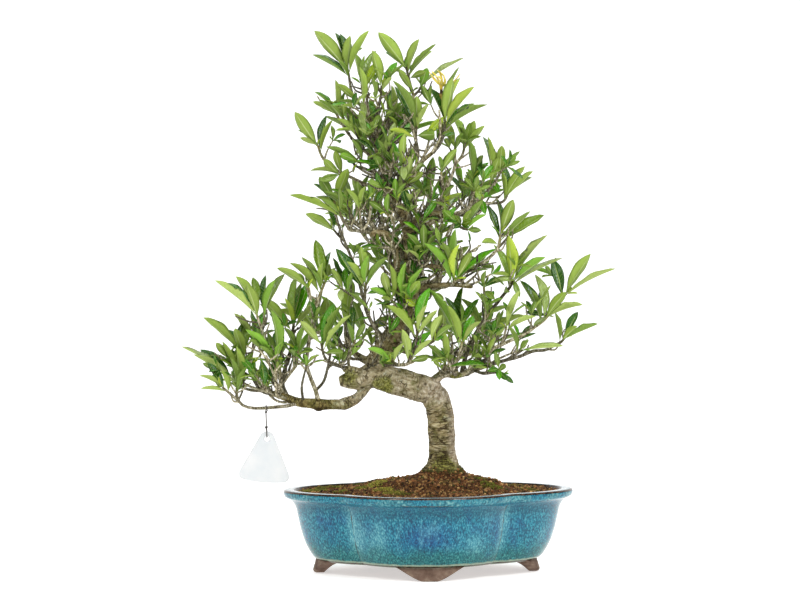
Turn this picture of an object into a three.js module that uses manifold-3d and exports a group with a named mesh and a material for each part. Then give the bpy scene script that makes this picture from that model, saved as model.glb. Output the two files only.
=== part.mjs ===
// A gardenia grown as a bonsai in a four-lobed glazed pot, in millimetres, +Z up.
// The pot's axis is x = 0, y = 0 and its feet stand at z = 0 while the pieces are made; the whole
// is then shifted so that the origin is the middle of its footprint. +Y points to the back.
import * as THREE from "three";
import { mergeVertices } from "three/addons/utils/BufferGeometryUtils.js";
import Module from "manifold-3d";

const wasm = await Module();
wasm.setup();

// Driving dimensions of the pot
const POT_HEIGHT = 82.7;
const RIM_HALF_WIDTH = 144.5;
const RIM_HALF_DEPTH = 116;
const NOTCH_X = 80;
const NOTCH_Y = 75;
const LOBE_STEPS = 8;
const FOOT_HEIGHT = 12.5;
const FOOT_LENGTH = 68;
const DRAIN_RADIUS = 9;
const DRAIN_X = 52;
const GAP = 0.3;

// Outside of the pot, from the underside up to the rim, as [share of the outline, height]
const POT_OUTSIDE = [
  [0.735, 12.5], [0.79, 17.5], [0.838, 29], [0.873, 43], [0.897, 59], [0.935, 71.5],
  [0.984, 74], [1, 80.5], [0.992, 82.7],
];
// Inside of the pot, from the rim down to its floor
const POT_INSIDE = [[0.915, 82.7], [0.845, 66], [0.7, 21]];

// Driving dimensions of the soil
const SOIL_EDGE = 79.5;
const SOIL_CROWN = 103;
const SOIL_RINGS = [0.72, 0.42, 0.17];
const TRUNK_X = 15;

// Driving dimensions of the leaves
const LEAF_RATIO = 0.29;
const LEAF_KEEL = 1.4;
const LEAF_SPACING = 2.2;
const LARGE_LEAF = 50;
const ROOT_SINK = 0.2;
const EYE = new THREE.Vector3(-27, -2200, 268);
const FRONT_SEED = 20;
const BACK_SEED = 1;

// Driving dimensions of the twigs
const TWIG_SIDES = 3;
const TWIG_NECK = 0.5;

// Driving dimensions of the tag and its thread
const THREAD = 1;
const THREAD_SIDES = 8;
const THREAD_STEPS = 26;
const TAG_THICK = 1;
const TAG_TOP = 7.5;
const TAG_HOLE = 2.6;
const TAG_HALF_WIDTH = 24;
const TAG_DROP = 43;
const TAG_LEAN = 5;

// Colours
const GLAZE = { color: 0x2f7f9c, roughness: 0.25, metalness: 0 };
const EARTH = { color: 0x6b4630, roughness: 0.95, metalness: 0 };
const BARK = { color: 0x8d8468, roughness: 0.85, metalness: 0 };
const LEAF = { color: 0x5f8f1e, roughness: 0.4, metalness: 0 };
const PETAL = { color: 0xd9b24a, roughness: 0.7, metalness: 0 };
const CARD = { color: 0xf4f4f1, roughness: 0.5, metalness: 0 };
const CORD = { color: 0x3a3633, roughness: 0.8, metalness: 0 };

let seed = FRONT_SEED;

// Returns the next number, from 0 to 1, of one fixed series
function draw() {
  seed = (Math.imul(seed, 1664525) + 1013904223) >>> 0;
  return seed / 4294967296;
}

// Places a point given by how it shows from the front, and its depth behind the pot's axis
function seen([x, z, y]) {
  const share = 1 + y / -EYE.y;
  return new THREE.Vector3(EYE.x + (x - EYE.x) * share, y, EYE.z + (z - EYE.z) * share);
}

// Solids
function solid(points, triangles) {
  const vertProperties = new Float32Array(points.flatMap((p) => [p.x, p.y, p.z]));
  const triVerts = new Uint32Array(triangles.flat());
  return new wasm.Manifold(new wasm.Mesh({ numProp: 3, vertProperties, triVerts }));
}

function solidOf(geometry) {
  geometry.deleteAttribute("normal");
  geometry.deleteAttribute("uv");
  const merged = mergeVertices(geometry);
  const vertProperties = new Float32Array(merged.attributes.position.array);
  const triVerts = new Uint32Array(merged.index.array);
  return new wasm.Manifold(new wasm.Mesh({ numProp: 3, vertProperties, triVerts }));
}

function join(solids) {
  return solids.reduce((whole, piece) => whole.add(piece));
}

function geometryOf(whole) {
  const mesh = whole.getMesh();
  const geometry = new THREE.BufferGeometry();
  geometry.setAttribute("position", new THREE.BufferAttribute(mesh.vertProperties, 3));
  geometry.setIndex(new THREE.BufferAttribute(mesh.triVerts, 1));
  geometry.computeVertexNormals();
  return geometry;
}

// Closes a stack of rings of equal length, listed against the clock as seen from their last ring
function skin(rings) {
  const n = rings[0].length;
  const triangles = [];
  for (let j = 0; j < rings.length - 1; j++) {
    for (let i = 0; i < n; i++) {
      const a = j * n + i;
      const b = j * n + (i + 1) % n;
      triangles.push([a, b, b + n], [a, b + n, a + n]);
    }
  }
  const last = (rings.length - 1) * n;
  for (let i = 1; i < n - 1; i++) {
    triangles.push([0, i + 1, i], [last, last + i, last + i + 1]);
  }
  return solid(rings.flat(), triangles);
}

// A round bar with a radius of its own at each point; it keeps its sides from twisting. extra
// makes it thicker all round and at both ends.
function limb(points, radii, sides, extra = 0) {
  const normal = new THREE.Vector3(0.31, 0.93, 0.2);
  const last = points.length - 1;
  const rings = points.map((point, i) => {
    const ahead = points[Math.min(i + 1, last)];
    const behind = points[Math.max(i - 1, 0)];
    const along = ahead.clone().sub(behind).normalize();
    normal.addScaledVector(along, -normal.dot(along)).normalize();
    const across = along.clone().cross(normal);
    const beyond = i === last ? extra : i === 0 ? -extra : 0;
    const middle = point.clone().addScaledVector(along, beyond);
    return Array.from({ length: sides }, (_, k) => {
      const angle = (2 * Math.PI * k) / sides;
      return middle.clone()
        .addScaledVector(normal, Math.cos(angle) * (radii[i] + extra))
        .addScaledVector(across, Math.sin(angle) * (radii[i] + extra));
    });
  });
  return skin(rings);
}

// Pot
const NOTCH = Math.atan2(NOTCH_Y, NOTCH_X);
const LOBE_WIDTH = NOTCH_X / Math.sqrt(1 - (NOTCH_Y / RIM_HALF_DEPTH) ** 2);
const LOBE_DEPTH = NOTCH_Y / Math.sqrt(1 - (NOTCH_X / RIM_HALF_WIDTH) ** 2);

// Directions of the outline's points: the same number to each lobe, one of them on every notch
function lobeAngles() {
  const angles = [];
  for (let lobe = 0; lobe < 4; lobe++) {
    const half = lobe % 2 ? Math.PI / 2 - NOTCH : NOTCH;
    for (let i = 0; i < LOBE_STEPS; i++) {
      angles.push(lobe * Math.PI / 2 - half + (2 * half * i) / LOBE_STEPS);
    }
  }
  return angles;
}

// Distance from the axis to the rim: the outer one of two crossed ellipses
function rimAt(angle) {
  const [c, s] = [Math.cos(angle), Math.sin(angle)];
  const wide = 1 / Math.hypot(c / RIM_HALF_WIDTH, s / LOBE_DEPTH);
  const deep = 1 / Math.hypot(c / LOBE_WIDTH, s / RIM_HALF_DEPTH);
  return Math.max(wide, deep);
}

function potRing(share, height, inset = 0) {
  return lobeAngles().map((angle) => {
    const r = rimAt(angle) * share - inset;
    return new THREE.Vector3(r * Math.cos(angle), r * Math.sin(angle), height);
  });
}

// A foot's cloud outline: the toe on the floor and, on each side, a step and the flare
function footShape() {
  const half = FOOT_LENGTH / 2;
  const shape = new THREE.Shape();
  shape.moveTo(-half, FOOT_HEIGHT + 3);
  shape.quadraticCurveTo(-half * 0.72, FOOT_HEIGHT * 0.95, -half * 0.62, FOOT_HEIGHT * 0.6);
  shape.quadraticCurveTo(-half * 0.45, FOOT_HEIGHT * 0.42, -half * 0.32, 0);
  shape.lineTo(half * 0.32, 0);
  shape.quadraticCurveTo(half * 0.45, FOOT_HEIGHT * 0.42, half * 0.62, FOOT_HEIGHT * 0.6);
  shape.quadraticCurveTo(half * 0.72, FOOT_HEIGHT * 0.95, half, FOOT_HEIGHT + 3);
  return shape;
}

function makePot() {
  const outside = skin(POT_OUTSIDE.map(([share, z]) => potRing(share, z)));
  const inside = skin([...POT_INSIDE].reverse().map(([share, z]) => potRing(share, z))
    .concat([potRing(0.93, POT_HEIGHT + 2)]));
  const footBand = skin([potRing(0.765, 0), potRing(0.735, FOOT_HEIGHT + 1)])
    .subtract(skin([potRing(0.64, -1), potRing(0.6, FOOT_HEIGHT + 4)]));
  let pot = outside;
  for (let lobe = 0; lobe < 4; lobe++) {
    const blank = new THREE.ExtrudeGeometry(footShape(), {
      depth: RIM_HALF_WIDTH, bevelEnabled: false, curveSegments: 3,
    });
    blank.rotateX(Math.PI / 2);
    blank.rotateZ(lobe * Math.PI / 2);
    pot = pot.add(solidOf(blank).intersect(footBand));
  }
  pot = pot.subtract(inside);
  for (const x of [-DRAIN_X, DRAIN_X]) {
    const drain = new THREE.CylinderGeometry(DRAIN_RADIUS, DRAIN_RADIUS, 40, 12);
    drain.rotateX(Math.PI / 2);
    drain.translate(x, 0, FOOT_HEIGHT);
    pot = pot.subtract(solidOf(drain));
  }
  return pot;
}

// Soil: it fills the cavity, dips a little at the rim and rises to the trunk in uneven lumps
function soilHeight(angle, share) {
  const rise = (SOIL_CROWN - SOIL_EDGE) * (1 - share) ** 1.15;
  const lumps = Math.sin(3 * angle + 5 * share) + Math.sin(5 * angle - 7 * share + 1);
  return SOIL_EDGE + rise + 1.3 * lumps * (1 - share) * 2 * share;
}

function makeSoil(trunkRoom) {
  const [[rimShare, rimZ], [neckShare, neckZ], [floorShare, floorZ]] = POT_INSIDE;
  const edge = neckShare + (rimShare - neckShare) * (SOIL_EDGE - neckZ) / (rimZ - neckZ);
  const shares = [[floorShare, floorZ + GAP], [neckShare, neckZ], [edge, SOIL_EDGE]];
  const walls = shares.map(([share, z]) => potRing(share, z, GAP * 1.3));
  const top = SOIL_RINGS.map((share) => lobeAngles().map((angle) => {
    const r = rimAt(angle) * share * edge;
    const towards = TRUNK_X * (1 - share);
    return new THREE.Vector3(
      r * Math.cos(angle) + towards, r * Math.sin(angle), soilHeight(angle, share));
  }));
  return skin([...walls, ...top]).subtract(trunkRoom);
}

// Trunk: three thick lengths that meet at the two bends, as [x, z, y, radius] seen from the front
const TRUNK_LENGTHS = [
  [
    [14, 76, 0, 10], [14, 90, 0, 19], [15, 101, 0, 18], [15, 108, 0, 14.5], [15, 118, 0, 13.4],
    [15, 131, 0, 12.7], [14, 151, 0, 13], [12, 165, 0, 13.7], [8, 177, 0, 13.5], [2, 185, 0, 9],
  ],
  [
    [15, 180, 0, 8], [10, 182, 0, 12.5], [0, 184, 0, 14], [-17, 186, -1, 14], [-33, 190, -2, 14.2],
    [-45, 194, -3, 14], [-56, 196, -5, 12], [-68, 192, -7, 10], [-80, 191, -9, 8], [-88, 190, -10, 5],
  ],
  [
    [-40, 188, -2, 10], [-48, 197, -2, 13], [-48, 208, -1, 13], [-41, 222, 0, 12],
    [-29, 237, 0, 11], [-22, 256, 0, 10], [-16, 281, 0, 9.5], [-15, 309, 0, 9],
    [-16, 331, 0, 8.6], [-19, 349, 0, 8], [-29, 364, -1, 6.6], [-37, 381, -2, 5.6],
    [-41, 401, -2, 4.7], [-47, 421, -1, 4], [-53, 441, 0, 3.3], [-58, 455, 0, 2.4],
  ],
];
const TRUNK_SIDES = [12, 10, 10];
const LIMB_SIDES = 5;

// Limbs that grew from the trunk, each from inside it, as [x, z, y, radius] seen from the front
const LIMBS = [
  // Low left, with its two scar knobs and the mossy stub's spur
  [
    [-56, 192, -2, 5.5], [-63, 182, -5, 5], [-71, 173, -9, 5.2], [-82, 168, -12, 6.4],
    [-88, 167, -14, 4.7], [-103, 167, -16, 4.8], [-109, 167, -17, 6.3], [-115, 168, -17, 4.6],
    [-130, 170, -18, 4.1], [-143, 175, -17, 3.6], [-156, 179, -15, 2.9],
  ],
  [[-66, 196, -8, 7], [-78, 201, -14, 5], [-84, 203, -18, 3]],
  // Low right, with its mossy lump
  [
    [4, 186, -2, 5], [13, 195, -6, 3.4], [22, 195, -8, 4.4], [29, 195, -9, 5.4],
    [37, 197, -10, 3.4], [49, 201, -12, 2.8], [63, 206, -13, 2.3],
  ],
  // Front right, a dead stub
  [[-28, 222, -4, 3.5], [-16, 219, -14, 3], [-6, 223, -19, 2.2]],
  // Left of the trunk, rising beside it to the knot
  [
    [-24, 268, -2, 4], [-29, 284, -9, 5], [-30, 309, -12, 4.6], [-33, 328, -13, 4.4],
    [-40, 337, -13, 4.2], [-50, 338, -14, 5], [-57, 337, -15, 3.4],
  ],
  // Upper right
  [
    [-18, 347, 0, 5], [-4, 353, -6, 4], [7, 357, -9, 3.6], [20, 355, -11, 3],
    [33, 357, -12, 2.5],
  ],
  // Middle right
  [
    [-14, 303, 0, 4.5], [-2, 305, -8, 2.6], [12, 304, -12, 2.3], [28, 300, -16, 2.1],
    [43, 299, -18, 1.9],
  ],
  // Middle right, a pale cut stub
  [[-15, 281, 0, 5], [6, 285, -11, 2.8], [25, 286, -17, 2.6], [46, 284, -21, 2.4]],
  // To the bloom
  [
    [-30, 368, -1, 4], [-20, 385, -6, 3], [-14, 397, -9, 2.7], [-8, 406, -11, 2.5],
    [0, 413, -13, 2.2], [9, 420, -14, 2],
  ],
  // Back limbs, low ones first
  [[-46, 204, 2, 6], [-58, 209, 18, 4.4], [-70, 216, 36, 3.5], [-80, 224, 54, 2.6]],
  [[4, 186, 2, 6], [14, 197, 20, 4.2], [24, 206, 40, 3.3], [34, 215, 58, 2.5]],
  [[-22, 256, 2, 5], [-20, 266, 18, 3.9], [-17, 277, 36, 3.2], [-14, 288, 52, 2.5]],
  [[-15, 312, 2, 5], [-26, 321, 16, 3.6], [-38, 331, 30, 2.9], [-50, 340, 42, 2.4]],
  [[-17, 335, 2, 5], [-6, 342, 16, 3.4], [6, 349, 30, 2.8], [18, 356, 42, 2.3]],
  [[-40, 396, 0, 3.6], [-40, 405, 12, 2.7], [-42, 415, 24, 2.3], [-44, 424, 34, 2]],
];

function grown(rows, sides, extra) {
  return limb(rows.map(seen), rows.map((row) => row[3]), sides, extra);
}

function makeTrunk(extra = 0) {
  const lengths = TRUNK_LENGTHS.map((rows, i) => grown(rows, TRUNK_SIDES[i], extra));
  return join([...lengths, ...LIMBS.map((rows) => grown(rows, LIMB_SIDES, extra))]);
}

// Sprays: every twig is [start radius, end radius, its points], seen from the front. Each leaf of a
// shoot is [x, z of its tip, width that shows, depth of its tip behind the shoot's end].
const sprays = [];

function spray(name, look = LEAF) {
  sprays.push({ name, look, twigs: [], leaves: [] });
}

function twig(thick, thin, points) {
  sprays.at(-1).twigs.push({ points: points.map(seen), thick, thin });
}

function shoot(thick, thin, points, leaves) {
  twig(thick, thin, points);
  const places = points.map(seen);
  const [, , depth] = points.at(-1);
  const aims = leaves.map(([x, z, width, behind]) => [seen([x, z, depth + behind]), width]);
  const stem = stemOf(places);
  const lean = ([tip]) => tip.clone().sub(places.at(-1)).normalize().dot(stem);
  aims.sort((a, b) => lean(a) - lean(b)).forEach(([tip, width], i) => {
    leafBetween(rootOf(places, leaves.length - 1 - i, tip, thin), tip, width);
  });
}

function stemOf(places) {
  return places.at(-1).clone().sub(places.at(-2)).normalize();
}

// Where a leaf leaves its shoot: the next one down from the end for each place, on its tip's side
function rootOf(places, place, tip, radius) {
  const root = before(places, 1.2 + place * LEAF_SPACING);
  const stem = stemOf(places);
  const side = tip.clone().sub(root);
  side.addScaledVector(stem, -side.dot(stem)).normalize();
  return root.addScaledVector(side, ROOT_SINK * radius);
}

// The point of a line that lies a given way back from its end
function before(places, way) {
  for (let i = places.length - 1; i > 0; i--) {
    const length = places[i].distanceTo(places[i - 1]);
    if (way < length * 0.9 || i === 1) {
      return places[i].clone().lerp(places[i - 1], Math.min(way / length, 0.9));
    }
    way -= length;
  }
}

// Adds a leaf that shows the given width from the front, with its upper side up
function leafBetween(root, tip, width) {
  const along = tip.clone().sub(root);
  const length = along.length();
  along.normalize();
  const full = Math.max(width, LEAF_RATIO * length);
  const view = root.clone().sub(EYE).normalize();
  const flat = along.clone().cross(view).normalize();
  const edge = along.clone().cross(flat);
  const roll = Math.acos(width / full);
  const choices = [roll, -roll].map((angle) => {
    const across = flat.clone().multiplyScalar(Math.cos(angle))
      .addScaledVector(edge, Math.sin(angle));
    const up = along.clone().cross(across);
    return up.z < 0 ? { across: across.negate(), up: up.negate() } : { across, up };
  });
  const best = choices[0].up.z >= choices[1].up.z ? choices[0] : choices[1];
  addLeaf(root, tip, full, best.across, best.up);
}

function addLeaf(root, tip, width, across, up) {
  const arch = 0.04 * draw() - 0.02;
  sprays.at(-1).leaves.push({ root, tip, width, across, up, arch });
}

// A leaf's stations as [share of its length, share of its width]: stalk, widest stretch, tip
const LEAF_STATIONS = [[0.42, 0.92], [0.74, 0.78]];
const LARGE_LEAF_STATIONS = [[0.2, 0.34], [0.5, 1], [0.78, 0.7]];

function leafSolid({ root, tip, width, across, up, arch }) {
  const length = root.distanceTo(tip);
  const stations = length > LARGE_LEAF ? LARGE_LEAF_STATIONS : LEAF_STATIONS;
  const rings = stations.map(([share, wide]) => {
    const middle = root.clone().lerp(tip, share)
      .addScaledVector(up, arch * length * 4 * share * (1 - share));
    return [
      middle.clone().addScaledVector(across, wide * width / 2),
      middle.clone().addScaledVector(across, -wide * width / 2),
      middle.clone().addScaledVector(up, -LEAF_KEEL),
    ];
  });
  const points = [root, ...rings.flat(), tip];
  const end = points.length - 4;
  const triangles = [];
  for (let i = 0; i < 3; i++) {
    const next = (i + 1) % 3;
    triangles.push([0, 1 + next, 1 + i], [end + i, end + next, end + 3]);
    for (let j = 1; j < end; j += 3) {
      triangles.push([j + i, j + next, j + next + 3], [j + i, j + next + 3, j + i + 3]);
    }
  }
  return solid(points, triangles);
}

function twigSolid({ points, thick, thin }) {
  const last = points.length - 1;
  const radii = points.map((_, i) => thick + ((thin - thick) * i) / last);
  radii[0] *= TWIG_NECK;
  return limb(points, radii, TWIG_SIDES);
}

// Low left

spray("spray_left_tip")
shoot(2.6, 1.3, [
  [-152, 178, -16], [-165, 181, -13], [-172, 190, -11], [-178, 204, -8], [-182, 213, -6],
  [-187, 222, -5],
], [
  [-224, 255, 9, -10], [-186, 258, 9, 14], [-192, 244, 10, -24],
  [-201, 243, 6, 18], [-182, 253, 6, 10],
])
shoot(1.6, 1.2, [[-165, 181, -13], [-177, 182, -11], [-189, 186, -9], [-195, 191, -8]], [
  [-246, 226, 3, -6], [-234, 218, 4, -14], [-227, 223, 12, 12], [-205, 231, 6, -18],
  [-202, 226, 6, 16],
])
shoot(1.5, 1.2, [[-178, 204, -8], [-175, 220, 2], [-173, 237, 6]], [
  [-193, 259, 7, -12], [-160, 262, 7, 12], [-176, 262, 5, 14],
])

spray("spray_left_low")
shoot(1.9, 1.2, [
  [-128, 169, -18], [-140, 166, -24], [-150, 165, -28], [-162, 164, -30], [-175, 164, -31],
  [-185, 167, -32], [-190, 174, -33], [-191, 184, -34],
], [[-191, 226, 8, -8], [-197, 215, 5, -14], [-180, 206, 5, -18]])
shoot(1.4, 1.1, [[-185, 167, -32], [-194, 175, -36], [-205, 185, -40]], [
  [-227, 184, 3, -10], [-228, 197, 4, -12], [-220, 210, 8, 14], [-206, 202, 5, -16],
])

spray("spray_left_front")
shoot(2.2, 1.1, [
  [-148, 177, -17], [-147, 189, -24], [-148, 202, -30], [-153, 214, -33], [-161, 226, -36],
  [-165, 221, -41], [-168, 215, -44],
], [[-163, 187, 7, -8]])
shoot(1.7, 1.2, [[-161, 226, -36], [-165, 241, -38], [-169, 253, -40], [-172, 264, -40]], [
  [-212, 292, 3, -8], [-204, 290, 5, 10], [-191, 296, 9, -14], [-174, 295, 9, 16],
  [-180, 288, 10, -24],
])
shoot(1.4, 1.1, [[-165, 241, -38], [-163, 252, -33], [-163, 262, -30]], [
  [-161, 297, 7, 12], [-152, 292, 7, -12], [-142, 298, 8, 10], [-150, 284, 6, 18],
])
shoot(1.4, 1.2, [[-148, 202, -30], [-150, 208, -38], [-151, 213, -42]], [
  [-182, 243, 8, -14], [-156, 262, 10, -12], [-146, 230, 5, -18], [-168, 226, 5, -12],
])

spray("spray_left_back")
shoot(2.2, 1.2, [
  [-139, 173, -18], [-145, 188, -8], [-142, 205, 0], [-137, 221, 6], [-135, 236, 9],
  [-134, 244, 10], [-133, 252, 11],
], [
  [-165, 275, 11, -10], [-142, 274, 4, -14], [-130, 296, 7, 8], [-125, 290, 6, 14],
  [-118, 290, 11, 12], [-105, 273, 6, -14],
])
shoot(1.5, 1.1, [[-145, 188, -8], [-139, 196, -7], [-131, 206, -6]], [
  [-117, 240, 7, -2], [-137, 236, 6, 14], [-123, 226, 5, 18],
])
shoot(1.3, 1.1, [[-145, 188, -8], [-151, 198, 6], [-155, 210, 16]], [
  [-172, 242, 8, 10], [-146, 246, 7, 14], [-160, 240, 7, -8],
])

spray("spray_left_knob")
shoot(2.4, 1.3, [
  [-109, 168, -17], [-112, 181, -17], [-117, 194, -16], [-121, 208, -15], [-119, 223, -15],
  [-117, 238, -16], [-114, 255, -17], [-109, 272, -18], [-102, 289, -20],
], [
  [-137, 309, 6, -12], [-125, 315, 7, -14], [-111, 332, 12, 14], [-96, 320, 6, 12],
  [-104, 309, 6, -18], [-115, 302, 5, -16],
])
shoot(1.4, 1.2, [[-114, 255, -17], [-116, 270, -22], [-118, 284, -25]], [[-150, 304, 8, -12]])
shoot(1.4, 1.1, [[-121, 208, -15], [-127, 214, -21], [-130, 222, -25]], [
  [-143, 244, 6, -12], [-122, 248, 6, -16], [-114, 222, 5, -14],
])
shoot(1.5, 1.2, [[-112, 181, -17], [-104, 190, -12], [-100, 203, -8], [-96, 222, -5]], [
  [-104, 245, 7, 10], [-84, 246, 7, 14], [-96, 240, 6, -12],
])

spray("spray_left_stub")
shoot(1.9, 1.2, [
  [-80, 201, -15], [-87, 205, -22], [-96, 208, -28], [-103, 215, -33], [-106, 228, -36],
], [
  [-84, 219, 6, -12], [-127, 251, 8, -12], [-93, 268, 12, 10], [-86, 266, 6, -14],
  [-76, 257, 3, -18],
])
shoot(1.4, 1.1, [[-87, 205, -22], [-88, 210, -27]], [
  [-100, 231, 5, -14], [-89, 225, 5, -18], [-74, 224, 7, -10],
])
shoot(1.5, 1.2, [[-87, 205, -22], [-79, 216, -25], [-72, 231, -28]], [
  [-73, 260, 8, 12], [-80, 249, 6, -14], [-62, 248, 6, -10],
])

spray("spray_front_low")
shoot(2.4, 1.2, [[-42, 206, -8], [-38, 207, -22], [-30, 206, -32], [-36, 210, -38]], [
  [-60, 223, 6, -10], [-23, 228, 4, -16],
])
shoot(1.9, 1.3, [[-30, 206, -32], [-20, 207, -38], [-15, 214, -41]], [
  [1, 214, 7, -12], [-25, 242, 9, -10], [5, 239, 8, 8], [5, 231, 5, -16],
])
shoot(1.6, 1.2, [[-20, 207, -38], [-13, 222, -44], [-9, 241, -48]], [
  [-41, 266, 8, -12], [3, 283, 11, 8],
  [10, 261, 6, -12], [0, 266, 5, -18],
])
shoot(1.4, 1.1, [[-13, 222, -44], [-2, 225, -49], [7, 230, -52]], [
  [26, 246, 6, -8], [15, 256, 8, -12],
])

// Low right

spray("spray_right_lump")
shoot(2.2, 1.2, [[29, 195, -9], [25, 200, -20], [20, 203, -26], [17, 207, -31]], [
  [58, 206, 4, -10], [15, 241, 7, -12], [0, 226, 5, -8],
])
shoot(1.7, 1.2, [[25, 200, -20], [31, 214, -26], [35, 229, -30]], [
  [2, 282, 9, -8], [20, 266, 7, -14], [46, 255, 10, 10], [54, 249, 5, -12],
])

spray("spray_right_rise")
shoot(2.5, 1.3, [
  [34, 196, -10], [39, 217, -3], [48, 236, -1], [60, 255, -2], [69, 266, -4], [77, 276, -6],
  [83, 283, -7], [87, 291, -8],
], [
  [77, 278, 7, -18], [136, 312, 3, 6], [119, 313, 8, -14], [67, 326, 7, 10],
  [82, 335, 12, -18], [121, 335, 2, 8],
])
shoot(1.5, 1.2, [[60, 255, -2], [58, 268, -12], [57, 283, -18]], [
  [68, 271, 7, -16], [59, 300, 5, -16],
])
shoot(1.4, 1.1, [[48, 236, -1], [56, 246, -10], [62, 257, -15]], [
  [80, 264, 5, -12], [54, 278, 6, -14],
])
shoot(1.4, 1.1, [[39, 217, -3], [36, 232, 10], [34, 246, 18]], [
  [18, 274, 7, 8], [36, 284, 7, 14], [52, 272, 7, 10],
])

spray("spray_right_second")
shoot(2.2, 1.2, [
  [40, 198, -11], [48, 210, -15], [60, 219, -16], [73, 225, -14], [86, 231, -11],
  [98, 236, -7], [109, 244, -3], [116, 249, -1], [121, 254, 1],
], [
  [156, 265, 5, -12], [93, 290, 6, 8], [108, 296, 9, 12], [105, 280, 7, -18],
  [139, 278, 10, -22],
])
shoot(1.6, 1.2, [[109, 244, -3], [124, 259, 6], [139, 276, 12]], [
  [127, 262, 5, 14], [189, 301, 4, -6], [164, 316, 11, -10], [126, 311, 12, 12],
])
shoot(1.4, 1.1, [[73, 225, -14], [77, 234, -20], [79, 243, -24]], [
  [109, 254, 4, -14], [93, 280, 7, -12],
])

spray("spray_right_low")
shoot(1.9, 1.2, [
  [60, 205, -13], [78, 210, -16], [93, 214, -18], [106, 219, -18], [118, 220, -17],
  [128, 225, -15], [134, 228, -13], [138, 233, -12],
], [[171, 246, 4, -8], [150, 244, 6, -16], [151, 258, 8, 8], [128, 258, 5, -10]])
shoot(1.4, 1.1, [[78, 210, -16], [87, 215, -24], [95, 220, -28]], [
  [136, 224, 3, -8], [101, 230, 5, -16], [81, 245, 5, -8],
])

spray("spray_right_dry")
shoot(1.7, 1, [[47, 200, -12], [56, 197, -22], [67, 198, -28], [72, 198, -30], [76, 197, -31]], [
  [65, 205, 4, -6], [86, 187, 5, -4], [80, 190, 6, -8], [78, 206, 6, -8],
])

// Middle, around the trunk

spray("spray_mid_right")
shoot(2, 1.3, [[25, 286, -17], [26, 287, -28], [30, 292, -35]], [
  [70, 322, 6, 8], [45, 318, 9, -14], [-3, 328, 7, -10], [15, 329, 5, -16],
  [33, 327, 6, -18], [29, 342, 9, 6],
])

spray("spray_mid_right_end")
shoot(1.9, 1.3, [
  [40, 299, -18], [53, 306, -17], [63, 313, -16], [71, 322, -15], [73, 329, -15],
  [74, 336, -15],
], [
  [55, 328, 6, -18], [104, 359, 6, -10], [61, 366, 7, 10],
  [69, 374, 5, 24], [87, 371, 12, -12],
])
shoot(1.4, 1.1, [[71, 322, -15], [77, 328, -10], [82, 334, -6]], [
  [118, 355, 9, 8], [97, 352, 6, 14],
])

spray("spray_core_right")
shoot(1.8, 1.3, [[0, 305, -8], [-2, 311, -18], [-3, 319, -23]], [
  [-20, 338, 6, -10], [12, 338, 6, -12], [-3, 347, 9, -8],
])

spray("spray_core_front")
shoot(2, 1.2, [[-19, 264, -4], [-24, 263, -19], [-22, 272, -26]], [
  [-7, 290, 10, -18], [-4, 303, 6, -8], [-21, 309, 8, -10],
])
shoot(1.5, 1.2, [[-24, 263, -19], [-33, 268, -24], [-38, 275, -26]], [
  [-57, 283, 6, -12], [-44, 299, 9, -12], [-37, 307, 5, -6],
])

spray("spray_mid_left")
shoot(2.4, 1.3, [
  [-38, 226, -4], [-50, 240, -12], [-58, 254, -16], [-62, 266, -18], [-62, 278, -21],
  [-61, 289, -24],
], [
  [-39, 281, 6, 10], [-80, 310, 7, -14], [-39, 314, 7, -10], [-91, 323, 12, 8],
  [-58, 316, 7, -18], [-66, 325, 10, -8],
])
shoot(1.5, 1.2, [[-62, 266, -18], [-74, 275, -16], [-86, 283, -14]], [
  [-75, 299, 6, -16], [-96, 303, 7, -12], [-82, 303, 7, 12], [-94, 314, 5, 6],
])
shoot(1.3, 1.1, [[-58, 254, -16], [-58, 262, -26]], [[-78, 279, 4, -10]])
shoot(1.7, 1.2, [
  [-62, 266, -18], [-68, 290, -8], [-74, 310, -4], [-82, 330, -2], [-88, 347, -2],
  [-91, 360, -3], [-92, 372, -4],
], [[-113, 388, 5, 12], [-78, 403, 11, -20], [-107, 395, 10, -12]])
shoot(1.3, 1.1, [[-82, 330, -2], [-88, 336, 3], [-93, 342, 6]], [
  [-121, 358, 9, -10], [-100, 365, 5, 10],
])

spray("spray_left_knot")
shoot(2, 1.2, [
  [-54, 338, -15], [-65, 340, -20], [-75, 342, -22], [-83, 350, -24], [-87, 360, -25],
], [[-137, 377, 5, -8], [-105, 373, 6, -14], [-87, 384, 5, -12]])
shoot(1.4, 1.1, [[-75, 342, -22], [-76, 352, -18], [-77, 363, -16]], [[-103, 380, 7, -6]])
shoot(1.5, 1.2, [[-65, 340, -20], [-66, 352, -25], [-67, 366, -29]], [
  [-80, 383, 6, -14], [-61, 385, 6, -16], [-69, 390, 8, -8],
])
shoot(1.5, 1.2, [[-65, 340, -20], [-58, 350, -16], [-54, 374, -14]], [
  [-55, 393, 7, -12], [-42, 392, 6, -8],
])

spray("spray_core_upper")
shoot(1.9, 1.2, [[-22, 352, -2], [-32, 353, -15], [-41, 358, -21]], [
  [-57, 370, 7, -10], [-38, 378, 6, -14],
])
shoot(1.4, 1.2, [[-32, 353, -15], [-30, 362, -20], [-29, 371, -23]], [
  [-20, 388, 5, -12], [-31, 393, 7, -8],
])

// Upper right

spray("spray_right_hang")
shoot(1.8, 1.2, [[26, 356, -12], [29, 349, -18], [35, 343, -22], [41, 341, -26]], [
  [60, 356, 4, -10], [16, 361, 9, -8], [45, 361, 6, -14], [57, 371, 8, -12],
])
twig(1.4, 1.1, [[29, 349, -18], [22, 339, -19], [16, 326, -20], [15, 314, -22], [17, 300, -23]])

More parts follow.
